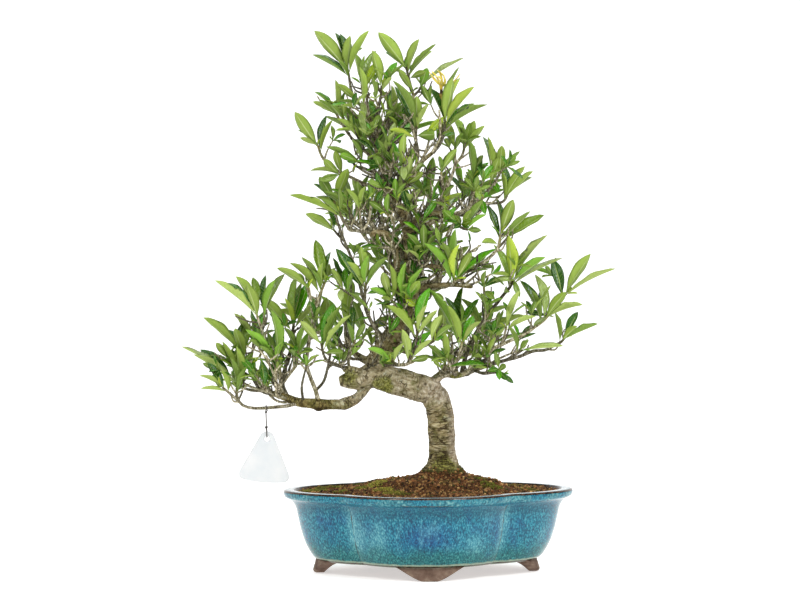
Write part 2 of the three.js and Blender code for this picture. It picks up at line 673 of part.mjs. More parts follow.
spray("spray_right_end")
shoot(2.2, 1.2, [
  [30, 356, -12], [43, 363, -12], [51, 368, -11], [58, 375, -10], [63, 382, -9],
  [65, 391, -8],
], [[73, 413, 10, -16], [57, 434, 8, 8], [62, 434, 6, -12]])
shoot(1.5, 1.2, [[58, 375, -10], [69, 389, -15], [76, 401, -18]], [
  [94, 419, 5, 8], [90, 415, 7, -14], [76, 425, 9, -10],
])
shoot(1.5, 1.2, [[51, 368, -11], [65, 367, -3], [77, 369, 3], [83, 380, 6]], [
  [106, 393, 4, 12], [107, 399, 5, -8], [94, 396, 7, 16], [99, 404, 8, -12], [79, 405, 6, 10],
  [75, 401, 5, -12],
])
shoot(1.4, 1.2, [[51, 368, -11], [54, 370, -19], [57, 373, -24]], [
  [59, 356, 7, -12], [50, 386, 6, -12],
])
shoot(1.5, 1.2, [[43, 363, -12], [46, 372, -3], [47, 382, 2], [47, 393, 4]], [
  [40, 399, 5, -16], [63, 408, 6, 12], [55, 415, 8, 8], [43, 431, 8, -8],
])

spray("spray_right_top")
shoot(2, 1.2, [
  [9, 357, -9], [12, 366, -4], [18, 379, 0], [25, 393, 2], [29, 406, 3], [29, 414, 3],
  [29, 423, 3],
], [[37, 438, 6, -14], [20, 450, 9, -8]])
shoot(1.5, 1.2, [[29, 406, 3], [36, 415, 8], [39, 425, 11]], [
  [36, 444, 5, -14], [59, 445, 7, -12], [26, 455, 7, 12], [49, 450, 9, -8],
])
shoot(1.3, 1.1, [[18, 379, 0], [16, 389, -7], [15, 399, -10]], [[13, 415, 5, -10], [25, 418, 6, 8]])
shoot(1.3, 1.1, [[12, 366, -4], [18, 369, -12]], [[36, 377, 5, -10], [28, 385, 5, -14]])

spray("spray_bloom_stem")
shoot(1.9, 1.3, [[7, 418, -14], [14, 427, -13], [18, 437, -12], [19, 446, -11], [19, 455, -10]], [
  [62, 466, 2, -8], [49, 467, 3, 10], [49, 484, 8, -14], [4, 483, 7, 12], [35, 493, 4, 12],
  [34, 504, 3, -6], [27, 493, 11, -16],
])

spray("spray_top_middle")
shoot(2, 1.3, [[-9, 405, -11], [-9, 418, -11], [-10, 431, -11], [-10, 438, -14], [-9, 445, -16]], [
  [9, 436, 12, -12], [-36, 441, 8, -12], [3, 467, 5, -16], [-31, 485, 8, 8],
  [-33, 491, 6, -12], [-9, 475, 11, -8],
])
shoot(1.8, 1.1, [[-10, 431, -11], [-14, 447, -4], [-13, 462, -1], [-12, 475, 0], [-13, 479, -5]], [
  [-27, 502, 7, -8],
])
shoot(1.5, 1.2, [[-12, 475, 0], [-16, 490, 1], [-19, 504, 2]], [
  [0, 499, 7, -16], [7, 520, 6, 12], [11, 527, 2, -8], [-6, 532, 8, -12], [-40, 519, 5, 12],
  [-47, 539, 13, -8],
])
shoot(1.4, 1.1, [[-12, 475, 0], [-7, 480, 4], [-4, 485, 6]], [[39, 513, 3, 8], [2, 503, 9, -10]])

// Upper left

spray("spray_left_upper")
shoot(1.9, 1.2, [
  [-33, 373, -1], [-46, 380, 1], [-57, 385, 3], [-69, 391, 5], [-79, 396, 7], [-89, 401, 9],
  [-99, 408, 10], [-105, 417, 11], [-108, 426, 12],
], [
  [-128, 442, 3, 8], [-93, 452, 5, -12], [-99, 456, 7, 12],
  [-131, 460, 12, -10],
])
shoot(1.3, 1.1, [[-79, 396, 7], [-84, 396, -2], [-87, 397, -7]], [
  [-116, 401, 3, -8], [-102, 412, 8, -14], [-91, 421, 8, -10],
])

spray("spray_left_high")
shoot(1.8, 1.2, [
  [-42, 404, -2], [-53, 413, 4], [-62, 421, 8], [-70, 429, 10], [-77, 437, 11],
  [-84, 448, 11], [-88, 455, 11], [-91, 462, 11],
], [[-107, 472, 5, -14], [-113, 470, 6, -8], [-111, 480, 3, 10], [-90, 492, 6, -10]])
shoot(1.3, 1.1, [[-77, 437, 11], [-81, 446, 4], [-82, 454, 1]], [
  [-95, 467, 5, -10], [-82, 471, 6, -12],
])
shoot(1.4, 1.1, [[-53, 413, 4], [-61, 409, -5], [-68, 409, -10]], [
  [-100, 425, 5, -6], [-86, 417, 8, -14], [-74, 432, 6, -10],
])
shoot(1.4, 1.1, [[-62, 421, 8], [-63, 426, 0], [-63, 432, -4]], [
  [-89, 453, 6, -8], [-53, 450, 8, -12], [-66, 455, 6, -8],
])

spray("spray_inner_top")
shoot(1.7, 1.3, [[-40, 397, -2], [-42, 404, -14], [-42, 412, -20]], [
  [-58, 406, 6, -10], [-31, 440, 5, -8], [-48, 432, 5, -14],
])

spray("spray_inner_right")
shoot(1.8, 1.2, [[-19, 387, -7], [-21, 384, -20], [-19, 389, -25]], [
  [-3, 399, 7, -8], [-16, 415, 8, -12],
])
shoot(1.5, 1.2, [[-21, 384, -20], [-24, 397, -24], [-23, 408, -26]], [
  [-31, 420, 5, -14], [-21, 438, 8, -8],
])

spray("spray_high_right")
shoot(1.7, 1.2, [[-50, 431, 0], [-43, 438, 5], [-36, 446, 9], [-32, 450, 11], [-31, 455, 12]], [
  [-23, 466, 5, -12], [-36, 482, 8, 12], [-34, 486, 6, -8],
])

spray("spray_apex_left")
shoot(2, 1.2, [[-57, 451, 0], [-60, 461, -1], [-62, 474, -2], [-64, 487, -3]], [
  [-45, 511, 9, 16], [-49, 521, 6, 8], [-70, 518, 7, -12], [-61, 516, 5, -16],
])
shoot(1.4, 1.1, [[-60, 461, -1], [-66, 468, -9]], [
  [-89, 488, 7, -8], [-87, 471, 4, -10], [-66, 505, 7, -8],
])
shoot(1.6, 1.2, [
  [-60, 461, -1], [-69, 470, 4], [-74, 480, 6], [-76, 492, 7], [-77, 498, 8], [-79, 505, 8],
], [
  [-113, 517, 3, 10], [-56, 541, 6, -10], [-87, 511, 5, -18], [-75, 536, 9, -14],
  [-90, 539, 6, 8], [-111, 541, 13, -10],
])

spray("spray_apex_right")
shoot(1.9, 1.2, [[-53, 441, 0], [-48, 452, -5], [-47, 464, -7], [-45, 474, -8], [-44, 485, -9]], [
  [-34, 494, 5, -14], [-28, 509, 8, 8], [-53, 521, 10, -10],
])
shoot(1.3, 1.1, [[-47, 464, -7], [-50, 472, -14]], [[-54, 495, 5, -8]])

// Sprays on the back limbs: a fan of shoots from the limb's end, each with a whorl of leaves.
// heading is seen from above, 90 degrees being straight back; lengths and angles vary a little.
function backSpray(name, start, heading, spread, count, reach, rise) {
  spray(name);
  const from = seen(start);
  for (let i = 0; i < count; i++) {
    const turn = THREE.MathUtils.degToRad(heading + spread * (i / (count - 1) - 0.5));
    const out = reach * (0.85 + 0.3 * draw());
    const up = rise * (0.75 + 0.5 * draw()) * (i % 2 ? 1.25 : 0.8);
    const level = new THREE.Vector3(Math.cos(turn), Math.sin(turn), 0);
    const end = from.clone().addScaledVector(level, out).setZ(from.z + up);
    const middle = from.clone().addScaledVector(level, out * 0.6).setZ(from.z + up * 0.35);
    sprays.at(-1).twigs.push({ points: [from, middle, end], thick: 1.9, thin: 1.2 });
    whorl([from, middle, end], 4 + (i % 2), level);
  }
}

// Leaves that spread evenly round a shoot, turned up from its side
function whorl(places, count, level) {
  const axis = new THREE.Vector3(level.x * 0.45, level.y * 0.45, 1).normalize();
  const side = new THREE.Vector3(-level.y, level.x, 0);
  const front = side.clone().cross(axis);
  const phase = 2 * Math.PI * draw();
  for (let k = 0; k < count; k++) {
    const turn = phase + (2 * Math.PI * k) / count;
    const lean = THREE.MathUtils.degToRad(38 + 20 * draw());
    const length = 36 + 10 * draw();
    const out = side.clone().multiplyScalar(Math.cos(turn)).addScaledVector(front, Math.sin(turn));
    const along = axis.clone().multiplyScalar(Math.cos(lean)).addScaledVector(out, Math.sin(lean));
    const tip = places.at(-1).clone().addScaledVector(along, length);
    const across = axis.clone().cross(along).normalize();
    const up = along.clone().cross(across);
    addLeaf(rootOf(places, count - 1 - k, tip, 1.2), tip, length * LEAF_RATIO, across, up);
  }
}

seed = BACK_SEED;
backSpray("spray_back_low_left", [-80, 224, 54], 115, 120, 4, 34, 16);
backSpray("spray_back_low_right", [34, 215, 58], 65, 120, 4, 34, 18);
backSpray("spray_back_middle", [-14, 288, 52], 90, 130, 4, 34, 14);
backSpray("spray_back_left", [-50, 340, 42], 120, 130, 4, 28, 14);
backSpray("spray_back_right", [18, 356, 42], 60, 130, 4, 28, 14);
backSpray("spray_back_top", [-44, 424, 34], 90, 140, 3, 20, 16);

// The spent bloom: a stalk and a narrow tube, with twisted petals from its mouth
const BLOOM_STALK = [
  [19, 455.6, -10], [18.6, 463, -10], [17, 471, -10], [16, 478, -10], [15.5, 484, -10],
];
const PETALS = [
  [6, 494, 6, -5], [9, 501, 4, 3], [2, 502, 3, -2], [13, 500, 5, 7], [19, 497, 4, -7], [24, 492, 4, 4],
];

spray("faded_bloom", PETAL);
twig(1.3, 2.3, BLOOM_STALK);
for (const [x, z, width, behind] of PETALS) {
  const [, , depth] = BLOOM_STALK.at(-1);
  leafBetween(before(BLOOM_STALK.map(seen), 1.5), seen([x, z, depth + behind]), width);
}

// Tag: it hangs below the low left spray's stem, with its hole on the thread
const STEM_AT = seen([-162, 164, -30]);
const TAG_AT = seen([-161, 133, -29.8]);

// Middle of the thread as [x, y, z] from the stem's middle: once round the stem, down behind it,
// through the tag's hole and a short way up in front
const THREAD_ROUTE = [
  [1.6, 0.6, -2.5], [1.5, -0.9, -2.4], [1.3, -2.2, -1.4], [1.1, -2.6, 0], [0.9, -2.25, 1.3],
  [0.6, -1.3, 2.25], [0.4, 0, 2.6], [0.2, 1.3, 2.25], [0.1, 2.25, 1.3], [0, 2.6, 0], [0, 2.6, -4],
  [0.2, 2.6, -10], [0.5, 2.6, -16], [0.8, 2.6, -22], [0.9, 2.6, -26.6], [1, 1.9, -28.3],
  [1, 0.2, -29], [1, -1.5, -28.3], [1, -2.2, -26.6], [0.9, -2, -24], [0.6, -1, -21.5],
  [0.4, 0.4, -19.4],
];

function makeThread() {
  const points = THREAD_ROUTE.map((place) => STEM_AT.clone().add(new THREE.Vector3(...place)));
  const section = new THREE.Shape();
  for (let i = 0; i < THREAD_SIDES; i++) {
    const angle = (2 * Math.PI * i) / THREAD_SIDES;
    const [x, y] = [Math.cos(angle) * THREAD / 2, Math.sin(angle) * THREAD / 2];
    if (i) section.lineTo(x, y);
    else section.moveTo(x, y);
  }
  return solidOf(new THREE.ExtrudeGeometry(section, {
    steps: THREAD_STEPS, extrudePath: new THREE.CatmullRomCurve3(points),
  }));
}

function makeTag() {
  const [wide, corner] = [TAG_HALF_WIDTH, TAG_HALF_WIDTH * 0.8];
  const outline = new THREE.Shape();
  outline.absarc(0, 0, TAG_TOP, Math.PI * 0.14, Math.PI * 0.86);
  outline.lineTo(-wide, -TAG_DROP * 0.75);
  outline.quadraticCurveTo(-wide * 1.13, -TAG_DROP * 0.93, -corner, -TAG_DROP * 0.97);
  outline.quadraticCurveTo(0, -TAG_DROP * 1.03, corner, -TAG_DROP * 0.97);
  outline.quadraticCurveTo(wide * 1.13, -TAG_DROP * 0.93, wide, -TAG_DROP * 0.75);
  outline.holes.push(new THREE.Path().absarc(0, 0, TAG_HOLE, 0, 2 * Math.PI, true));
  const card = new THREE.ExtrudeGeometry(outline, {
    depth: TAG_THICK, bevelEnabled: false, curveSegments: 4,
  });
  card.translate(0, 0, -TAG_THICK / 2);
  card.rotateX(Math.PI / 2);
  card.rotateY(THREE.MathUtils.degToRad(TAG_LEAN));
  card.translate(...TAG_AT);
  return solidOf(card);
}

const bonsai = new THREE.Group();
const model = new THREE.Group();
bonsai.add(model);

function place(name, whole, look) {
  const mesh = new THREE.Mesh(geometryOf(whole), new THREE.MeshStandardMaterial(look));
  mesh.name = name;
  model.add(mesh);
}

const trunkRoom = makeTrunk(GAP);
place("pot", makePot(), GLAZE);
place("soil", makeSoil(trunkRoom), EARTH);
place("trunk", makeTrunk(), BARK);
for (const { name, look, twigs, leaves } of sprays) {
  const whole = join([...twigs.map(twigSolid), ...leaves.map(leafSolid)]);
  place(name, whole.subtract(trunkRoom), look);
}
place("tag_thread", makeThread(), CORD);
place("hang_tag", makeTag(), CARD);

const box = new THREE.Box3().setFromObject(bonsai);
model.position.set(-(box.min.x + box.max.x) / 2, -(box.min.y + box.max.y) / 2, 0);

export default bonsai;
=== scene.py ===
# A gardenia grown as a bonsai in a four-lobed glazed pot: the finish of every piece.
# Lengths are millimetres in the pot's own frame, with its axis at x = y = 0, its feet at z = 0 and
# its front towards -y. A mesh turns them into metres in the shared frame.
import math
import random

import bpy
import numpy as np
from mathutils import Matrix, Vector, noise
from mathutils.geometry import tessellate_polygon

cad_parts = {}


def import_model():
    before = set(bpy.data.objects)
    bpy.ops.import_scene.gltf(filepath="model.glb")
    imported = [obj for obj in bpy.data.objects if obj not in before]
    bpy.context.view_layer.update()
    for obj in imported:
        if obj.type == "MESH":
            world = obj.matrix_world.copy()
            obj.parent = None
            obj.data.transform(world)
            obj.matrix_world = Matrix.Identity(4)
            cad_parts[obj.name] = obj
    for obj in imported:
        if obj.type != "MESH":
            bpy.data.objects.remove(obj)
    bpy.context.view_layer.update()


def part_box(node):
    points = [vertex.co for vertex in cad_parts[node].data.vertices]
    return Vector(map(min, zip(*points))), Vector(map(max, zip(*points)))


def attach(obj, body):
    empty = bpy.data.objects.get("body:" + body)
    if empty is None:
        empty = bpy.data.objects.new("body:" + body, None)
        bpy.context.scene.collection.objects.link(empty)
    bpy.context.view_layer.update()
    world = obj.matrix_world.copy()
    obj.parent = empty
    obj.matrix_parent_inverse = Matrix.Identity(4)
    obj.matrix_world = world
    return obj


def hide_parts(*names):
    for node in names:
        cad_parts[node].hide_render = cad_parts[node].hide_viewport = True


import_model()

MM = 0.001
FULL_TURN = 6.28
POT_LOW, POT_HIGH = (np.array(corner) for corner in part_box("pot"))
POT_AXIS = (POT_LOW + POT_HIGH) / 2 * (1, 1, 0)
random.seed(4)


def metres(points):
    return np.asarray(points, float) * MM + POT_AXIS


def put(name, data):
    """A new object in the scene that shows the data."""
    made = bpy.data.objects.new(name, data)
    bpy.context.collection.objects.link(made)
    return made


# Camera: level, 2.2 m in front of the pot's axis
EYE = np.array([-27.0, -2200.0, 268.0])
LENS = 99
ROLL = math.radians(0.4)
SHIFT = -0.0031


def make_camera():
    data = bpy.data.cameras.new("view")
    data.lens = LENS
    data.shift_y = SHIFT
    data.clip_start = 0.1
    data.clip_end = 60
    camera = put("view", data)
    camera.location = metres(EYE)
    camera.rotation_euler = (math.pi / 2, ROLL, 0)
    bpy.context.scene.camera = camera


make_camera()


# Curves and meshes
START_NORMAL = np.array([0.31, 0.93, 0.2])


def unit(vector):
    return vector / np.linalg.norm(vector)


def seen(row):
    """The place of x and z as they show from the front, at depth y behind the pot's axis."""
    x, z, y = row[:3]
    share = 1 + y / -EYE[1]
    return np.array([EYE[0] + (x - EYE[0]) * share, y, EYE[2] + (z - EYE[2]) * share])


def seen_line(rows, step):
    """A smooth line through rows of x, z, y and radius, seen from the front."""
    return smooth_line([[*seen(row), row[3]] for row in rows], step)


def smooth_line(rows, step):
    """Rows every step along a smooth curve through the given ones; any columns past the third,
    such as a radius, go along."""
    rows = np.asarray(rows, float)
    padded = np.vstack([2 * rows[0] - rows[1], rows, 2 * rows[-1] - rows[-2]])
    made = []
    for i in range(len(rows) - 1):
        a, b, c, d = padded[i:i + 4]
        count = max(1, round(np.linalg.norm((c - b)[:3]) / step))
        for t in np.arange(count) / count:
            made.append(0.5 * (2 * b + (c - a) * t + (2 * a - 5 * b + 4 * c - d) * t * t
                               + (3 * b - a - 3 * c + d) * t ** 3))
    return np.array(made + [rows[-1]])


def tube(rows, sides):
    """Points, quads, end triangles of a round bar through rows of x, y, z, radius, and how far
    along it each point lies, from 0 to 1."""
    rows = np.asarray(rows, float)
    centres, radii = rows[:, :3], rows[:, 3]
    ways = np.gradient(centres, axis=0)
    normal = START_NORMAL
    turn = (np.arange(sides) * 2 * math.pi / sides)[:, None]
    rings = []
    for centre, radius, way in zip(centres, radii, ways):
        way = unit(way)
        normal = unit(normal - way * normal.dot(way))
        across = np.cross(way, normal)
        rings.append(centre + radius * (np.cos(turn) * normal + np.sin(turn) * across))
    count = len(rows)
    points = np.vstack(rings + [centres[:1], centres[-1:]])
    quads = grid_quads(count, sides, True)
    i = np.arange(sides)
    j = (i + 1) % sides
    last = (count - 1) * sides
    first_end = np.stack([j, i, np.full(sides, count * sides)], axis=1)
    last_end = np.stack([last + i, last + j, np.full(sides, count * sides + 1)], axis=1)
    share = np.append(np.repeat(np.arange(count) / (count - 1), sides), [0, 1])
    return points, quads, np.vstack([first_end, last_end]), share


def grid_quads(rows, columns, closed):
    """Quads of a grid of points listed row by row; closed joins its last column to its first."""
    j, i = np.meshgrid(np.arange(rows - 1), np.arange(columns - (not closed)), indexing="ij")
    a = (j * columns + i).ravel()
    b = (j * columns + (i + 1) % columns).ravel()
    return np.stack([a, b, b + columns, a + columns], axis=1)


def both_sides(upper, under):
    """The points of a thin section: along its upper side and back along its under side."""
    return np.vstack([upper, under[-2:0:-1]])


def place_values(along, across):
    """For each point, how far along its piece and how far across or round it lies."""
    along, across = np.broadcast_arrays(along, across)
    return np.stack([along, across, along * 0], axis=1)


class Shape:
    """Gathers the points, faces and point values of one piece before its mesh is made."""

    def __init__(self):
        self.points, self.faces, self.slots, self.values = [], [], [], {}
        self.count = 0

    def add(self, points, *face_sets, slot=0, **values):
        for faces in face_sets:
            self.faces += (np.asarray(faces) + self.count).tolist()
            self.slots += [slot] * len(faces)
        self.points.append(np.asarray(points, float))
        for name, value in values.items():
            value = np.broadcast_to(value, (len(points), 3))
            self.values.setdefault(name, []).append(value)
        self.count += len(points)

    def add_stack(self, points, ring, slot=0, **values):
        """Adds a body made of a stack of rings, with that many points each, and its two ends."""
        first = np.arange(ring) + self.count
        last = first + len(points) - ring
        self.add(points, grid_quads(len(points) // ring, ring, True), slot=slot, **values)
        self.faces += [first[::-1].tolist(), last.tolist()]
        self.slots += [slot, slot]

    def make(self, name, materials, record_slot, replaced=()):
        mesh = bpy.data.meshes.new(name)
        mesh.from_pydata(metres(np.vstack(self.points)).tolist(), [], self.faces)
        mesh.polygons.foreach_set("material_index", self.slots)
        for key, parts in self.values.items():
            layer = mesh.attributes.new(key, "FLOAT_VECTOR", "POINT")
            layer.data.foreach_set("vector", np.vstack(parts).ravel())
        return finish_piece(name, mesh, materials, replaced)


def finish_piece(name, mesh, materials, replaced=()):
    mesh.shade_smooth()
    mesh.update()
    piece = put(name, mesh)
    for material in materials:
        mesh.materials.append(material)
    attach(piece, "root")
    if replaced:
        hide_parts(*replaced)
    return piece


# Materials
def colour(code):
    """Linear red, green, blue and alpha of a colour written as six hex digits."""
    shares = [int(code[i:i + 2], 16) / 255 for i in (0, 2, 4)]
    return [s / 12.92 if s <= 0.04045 else ((s + 0.055) / 1.055) ** 2.4 for s in shares] + [1]


class Look:
    """A procedural material and short calls for its nodes."""

    def __init__(self, name, **shader):
        self.material = bpy.data.materials.new(name)
        self.material.use_nodes = True
        self.tree = self.material.node_tree
        self.shader = self.tree.nodes["Principled BSDF"]
        for socket, value in shader.items():
            self.shader.inputs[socket.replace("_", " ")].default_value = value

    def node(self, kind, inputs, **settings):
        made = self.tree.nodes.new("ShaderNode" + kind)
        for key, value in settings.items():
            setattr(made, key, value)
        for key, value in inputs.items():
            self.feed(made.inputs[key], value)
        return made

    def feed(self, socket, value):
        if isinstance(value, bpy.types.NodeSocket):
            self.tree.links.new(value, socket)
        else:
            socket.default_value = value

    def place(self):
        return self.node("TexCoord", {}).outputs["Object"]

    def attribute(self, name, output="Color"):
        return self.node("Attribute", {}, attribute_name=name).outputs[output]

    def values(self, name):
        return self.node("SeparateXYZ", {0: self.attribute(name, "Vector")}).outputs

    def height(self):
        """Millimetres above the feet."""
        above = self.node("SeparateXYZ", {0: self.place()}).outputs["Z"]
        return self.math("DIVIDE", above, MM)

    def stretched(self, scale, vector=None):
        return self.node("Mapping", {"Vector": vector or self.place(), "Scale": scale}).outputs[0]

    def noise(self, size, detail=3, vector=None, roughness=0.55):
        """Noise from 0 to 1 with lumps of about that size in millimetres."""
        return self.node("TexNoise", {
            "Vector": vector or self.place(), "Scale": 1000 / size, "Detail": detail,
            "Roughness": roughness}).outputs["Fac"]

    def cells(self, size, feature="F1", vector=None):
        return self.node("TexVoronoi", {
            "Vector": vector or self.place(), "Scale": 1000 / size},
            feature=feature).outputs["Distance"]

    def math(self, operation, *terms, clamp=False):
        return self.node("Math", dict(enumerate(terms)), operation=operation,
                         use_clamp=clamp).outputs[0]

    def fade(self, value, start, end, low=0.0, high=1.0):
        """low up to start, high from end on, and smooth between them."""
        return self.node("MapRange", {0: value, 1: start, 2: end, 3: low, 4: high},
                         interpolation_type="SMOOTHSTEP").outputs[0]

    def mix(self, factor, first, second, blend="MIX"):
        return self.node("Mix", {0: factor, 6: first, 7: second}, data_type="RGBA",
                         blend_type=blend).outputs[2]

    def tinted(self, base, tint):
        return self.mix(1, base, tint, "MULTIPLY")

    def ramp(self, value, *stops):
        ramp = self.node("ValToRGB", {0: value})
        elements = ramp.color_ramp.elements
        while len(elements) < len(stops):
            elements.new(0.5)
        for element, (place, code) in zip(elements, stops):
            element.position = place
            element.color = colour(code)
        return ramp.outputs[0]

    def finish(self, base, roughness=None, height=None, depth=0.3, strength=1.0):
        """Feeds the shader; depth is the relief's full depth in millimetres."""
        self.feed(self.shader.inputs["Base Color"], base)
        if roughness is not None:
            self.feed(self.shader.inputs["Roughness"], roughness)
        if height is not None:
            bump = self.node("Bump", {"Strength": strength, "Distance": depth * MM,
                                      "Height": height})
            self.feed(self.shader.inputs["Normal"], bump.outputs[0])
        return self.material


# A leaf's place holds, in x, its share of the way from the root and, in y, from -1 to 1 across
VEIN_PAIRS = 11


def leaf_ribs(look, along, across):
    """The midrib and the side veins, each from 0 to 1."""
    aside = look.math("ABSOLUTE", across)
    width = look.fade(along, 0.1, 1.0, 0.2, 0.07)
    midrib = look.math("SUBTRACT", 1.0, look.math("DIVIDE", aside, width), clamp=True)
    slant = look.math("MULTIPLY_ADD", look.math("POWER", aside, 0.8), -0.14, along)
    phase = look.math("FRACT", look.math("MULTIPLY", slant, VEIN_PAIRS))
    ridge = look.math("PINGPONG", phase, 0.5)
    vein = look.fade(ridge, 0.0, 0.16, 1.0, 0.0)
    return midrib, look.math("MULTIPLY", vein, look.fade(aside, 0.75, 1.0, 1.0, 0.1))


def leaf_upper():
    look = Look("leaf_upper", Roughness=0.3, Specular_IOR_Level=0.44)
    along, across = look.values("place")[:2]
    tone = look.attribute("tone")
    midrib, vein = leaf_ribs(look, along, across)
    patch = look.fade(look.noise(7, 3), 0.3, 0.7)
    base = look.mix(patch, look.tinted(tone, (0.8, 0.84, 0.8, 1)), tone)
    young = look.mix(look.fade(along, 0.0, 0.22, 0.5, 0.0), base, colour("9ab33c"))
    veined = look.mix(look.math("MULTIPLY", vein, 0.26), young, colour("9dbb4c"))
    shown = look.mix(look.math("MULTIPLY", midrib, 0.8), veined, colour("bccf7a"))
    relief = look.math("SUBTRACT", look.math("MULTIPLY", look.noise(2.2, 3), 0.8),
                       look.math("MAXIMUM", midrib, look.math("MULTIPLY", vein, 0.7)))
    rough = look.fade(look.noise(5, 2), 0.3, 0.75, 0.2, 0.36)
    return look.finish(shown, rough, relief, 0.5, 0.8)


def leaf_under():
    look = Look("leaf_under", Roughness=0.5, Specular_IOR_Level=0.15)
    along, across = look.values("place")[:2]
    tone = look.attribute("under")
    midrib, vein = leaf_ribs(look, along, across)
    patch = look.fade(look.noise(6, 3), 0.3, 0.7)
    base = look.mix(patch, look.tinted(tone, (0.9, 0.92, 0.86, 1)), tone)
    veined = look.mix(look.math("MULTIPLY", vein, 0.3), base, colour("8fa656"))
    shown = look.mix(look.math("MULTIPLY", midrib, 0.7), veined, colour("cbd79a"))
    relief = look.math("MAXIMUM", midrib, look.math("MULTIPLY", vein, 0.6))
    return look.finish(shown, None, relief, 0.4, 0.6)


# A twig's place holds its share of the way along in x and its age, from 1 when woody, in y
def twig_bark():
    look = Look("twig_bark", Roughness=0.85, Specular_IOR_Level=0.15)
    age = look.values("place")[1]
    grain = look.noise(1.3, 4, look.stretched((1, 1, 0.35)))
    wood = look.ramp(grain, (0.34, "352d20"), (0.49, "7f775c"), (0.66, "cfc8b2"))
    green = look.ramp(look.noise(4, 3), (0.3, "4c4a1c"), (0.7, "7f7a3c"))
    algae = look.mix(look.fade(look.noise(9, 3), 0.5, 0.68, 0, 0.4), wood, colour("6c6c42"))
    shown = look.tinted(look.mix(age, green, algae), look.values("tone")[0])
    return look.finish(shown, None, grain, 0.6)


LEAF_LOOKS = [leaf_upper(), leaf_under(), twig_bark()]


# Tag and thread
THREAD = 1.0
THREAD_SIDES = 8
TAG_THICK, TAG_TOP, TAG_HOLE = 1.0, 7.5, 2.6
TAG_HALF_WIDTH, TAG_DROP, TAG_LEAN = 24, 43, 5
TAG_SHOULDER = 0.14
# Shares of the way from the hole to the edge and of half the thickness, round the card's section
TAG_SECTION = [
    (0, -1), (0.03, -1), (0.5, -1), (0.97, -1), (0.99, -0.8), (1, 0), (0.99, 0.8), (0.97, 1),
    (0.5, 1), (0.03, 1), (0, 1),
]
# The thread's middle, as x, y, z from the stem's middle: once round the stem, down behind it,
# through the tag's hole and a short way up in front
THREAD_ROUTE = [
    [1.6, 0.6, -2.5], [1.5, -0.9, -2.4], [1.3, -2.2, -1.4], [1.1, -2.6, 0], [0.9, -2.25, 1.3],
    [0.6, -1.3, 2.25], [0.4, 0, 2.6], [0.2, 1.3, 2.25], [0.1, 2.25, 1.3], [0, 2.6, 0], [0, 2.6, -4],
    [0.2, 2.6, -10], [0.5, 2.6, -16], [0.8, 2.6, -22], [0.9, 2.6, -26.6], [1, 1.9, -28.3],
    [1, 0.2, -29], [1, -1.5, -28.3], [1, -2.2, -26.6], [0.9, -2, -24], [0.6, -1, -21.5],
    [0.4, 0.4, -19.4],
]
UPPER_KNOT = [0.1, 2.6, -4.5]
STEM_AT = seen((-162, 164, -30))
TAG_AT = seen((-161, 133, -29.8))


def thread_fibre():
    look = Look("thread_fibre", Roughness=0.85, Specular_IOR_Level=0.3)
    along, around = look.values("place")[:2]
    twist = look.math("FRACT", look.math("MULTIPLY_ADD", along, 34.0, around))
    strand = look.math("PINGPONG", twist, 0.5)
    shown = look.ramp(strand, (0.0, "1e1a19"), (0.5, "5c534d"))
    return look.finish(shown, None, strand, 0.4)


def tag_card():
    look = Look("tag_card", Roughness=0.42, Specular_IOR_Level=0.5)
    pulp = look.noise(0.8, 4)
    soft = look.noise(18, 2)
    base = look.ramp(soft, (0.35, "ccd0d2"), (0.65, "d6d7d7"))
    shown = look.mix(look.fade(pulp, 0.3, 0.7, 0.12, 0.0), base, colour("bfc2c2"))
    return look.finish(shown, None, pulp, 0.04)


def make_thread():
    route = smooth_line(np.array(THREAD_ROUTE) + STEM_AT, 0.5)
    rows = np.column_stack([route, np.full(len(route), THREAD / 2)])
    points, quads, ends, share = tube(rows, THREAD_SIDES)
    around = np.append(np.tile(np.arange(THREAD_SIDES) / THREAD_SIDES, len(route)), [0, 0])
    shape = Shape()
    shape.add(points, quads, ends, place=place_values(share, around))
    thread = shape.make("tag_string", [thread_fibre()], "thread", ["tag_thread"])
    length = np.linalg.norm(np.diff(route, axis=0), axis=1).sum()
    return thread, metres(route), length * MM


def circle(start, end, count, radius, endpoint=True):
    """Points on a round stretch between two angles, given in half turns."""
    turn = np.linspace(math.pi * start, math.pi * end, count, endpoint=endpoint)
    return np.stack([np.cos(turn), np.sin(turn)], axis=1) * radius


def bend(a, b, c, steps):
    """Points on a curve from a towards b and on to c, without c itself."""
    t = np.linspace(0, 1, steps, endpoint=False)[:, None]
    return (1 - t) ** 2 * np.array(a) + 2 * t * (1 - t) * np.array(b) + t * t * np.array(c)


def tag_outline():
    """The card's edge, from the right shoulder over the top and round: soft corners throughout."""
    wide, corner = TAG_HALF_WIDTH, TAG_HALF_WIDTH * 0.8
    side, bulge, foot, sag = (-TAG_DROP * share for share in (0.75, 0.93, 0.97, 1.03))
    return np.vstack([
        circle(TAG_SHOULDER, 1 - TAG_SHOULDER, 20, TAG_TOP),
        bend((-wide, side), (-wide * 1.13, bulge), (-corner, foot), 12),
        bend((-corner, foot), (0, sag), (corner, foot), 16),
        bend((corner, foot), (wide * 1.13, bulge), (wide, side), 12),
        [(wide, side)],
    ])


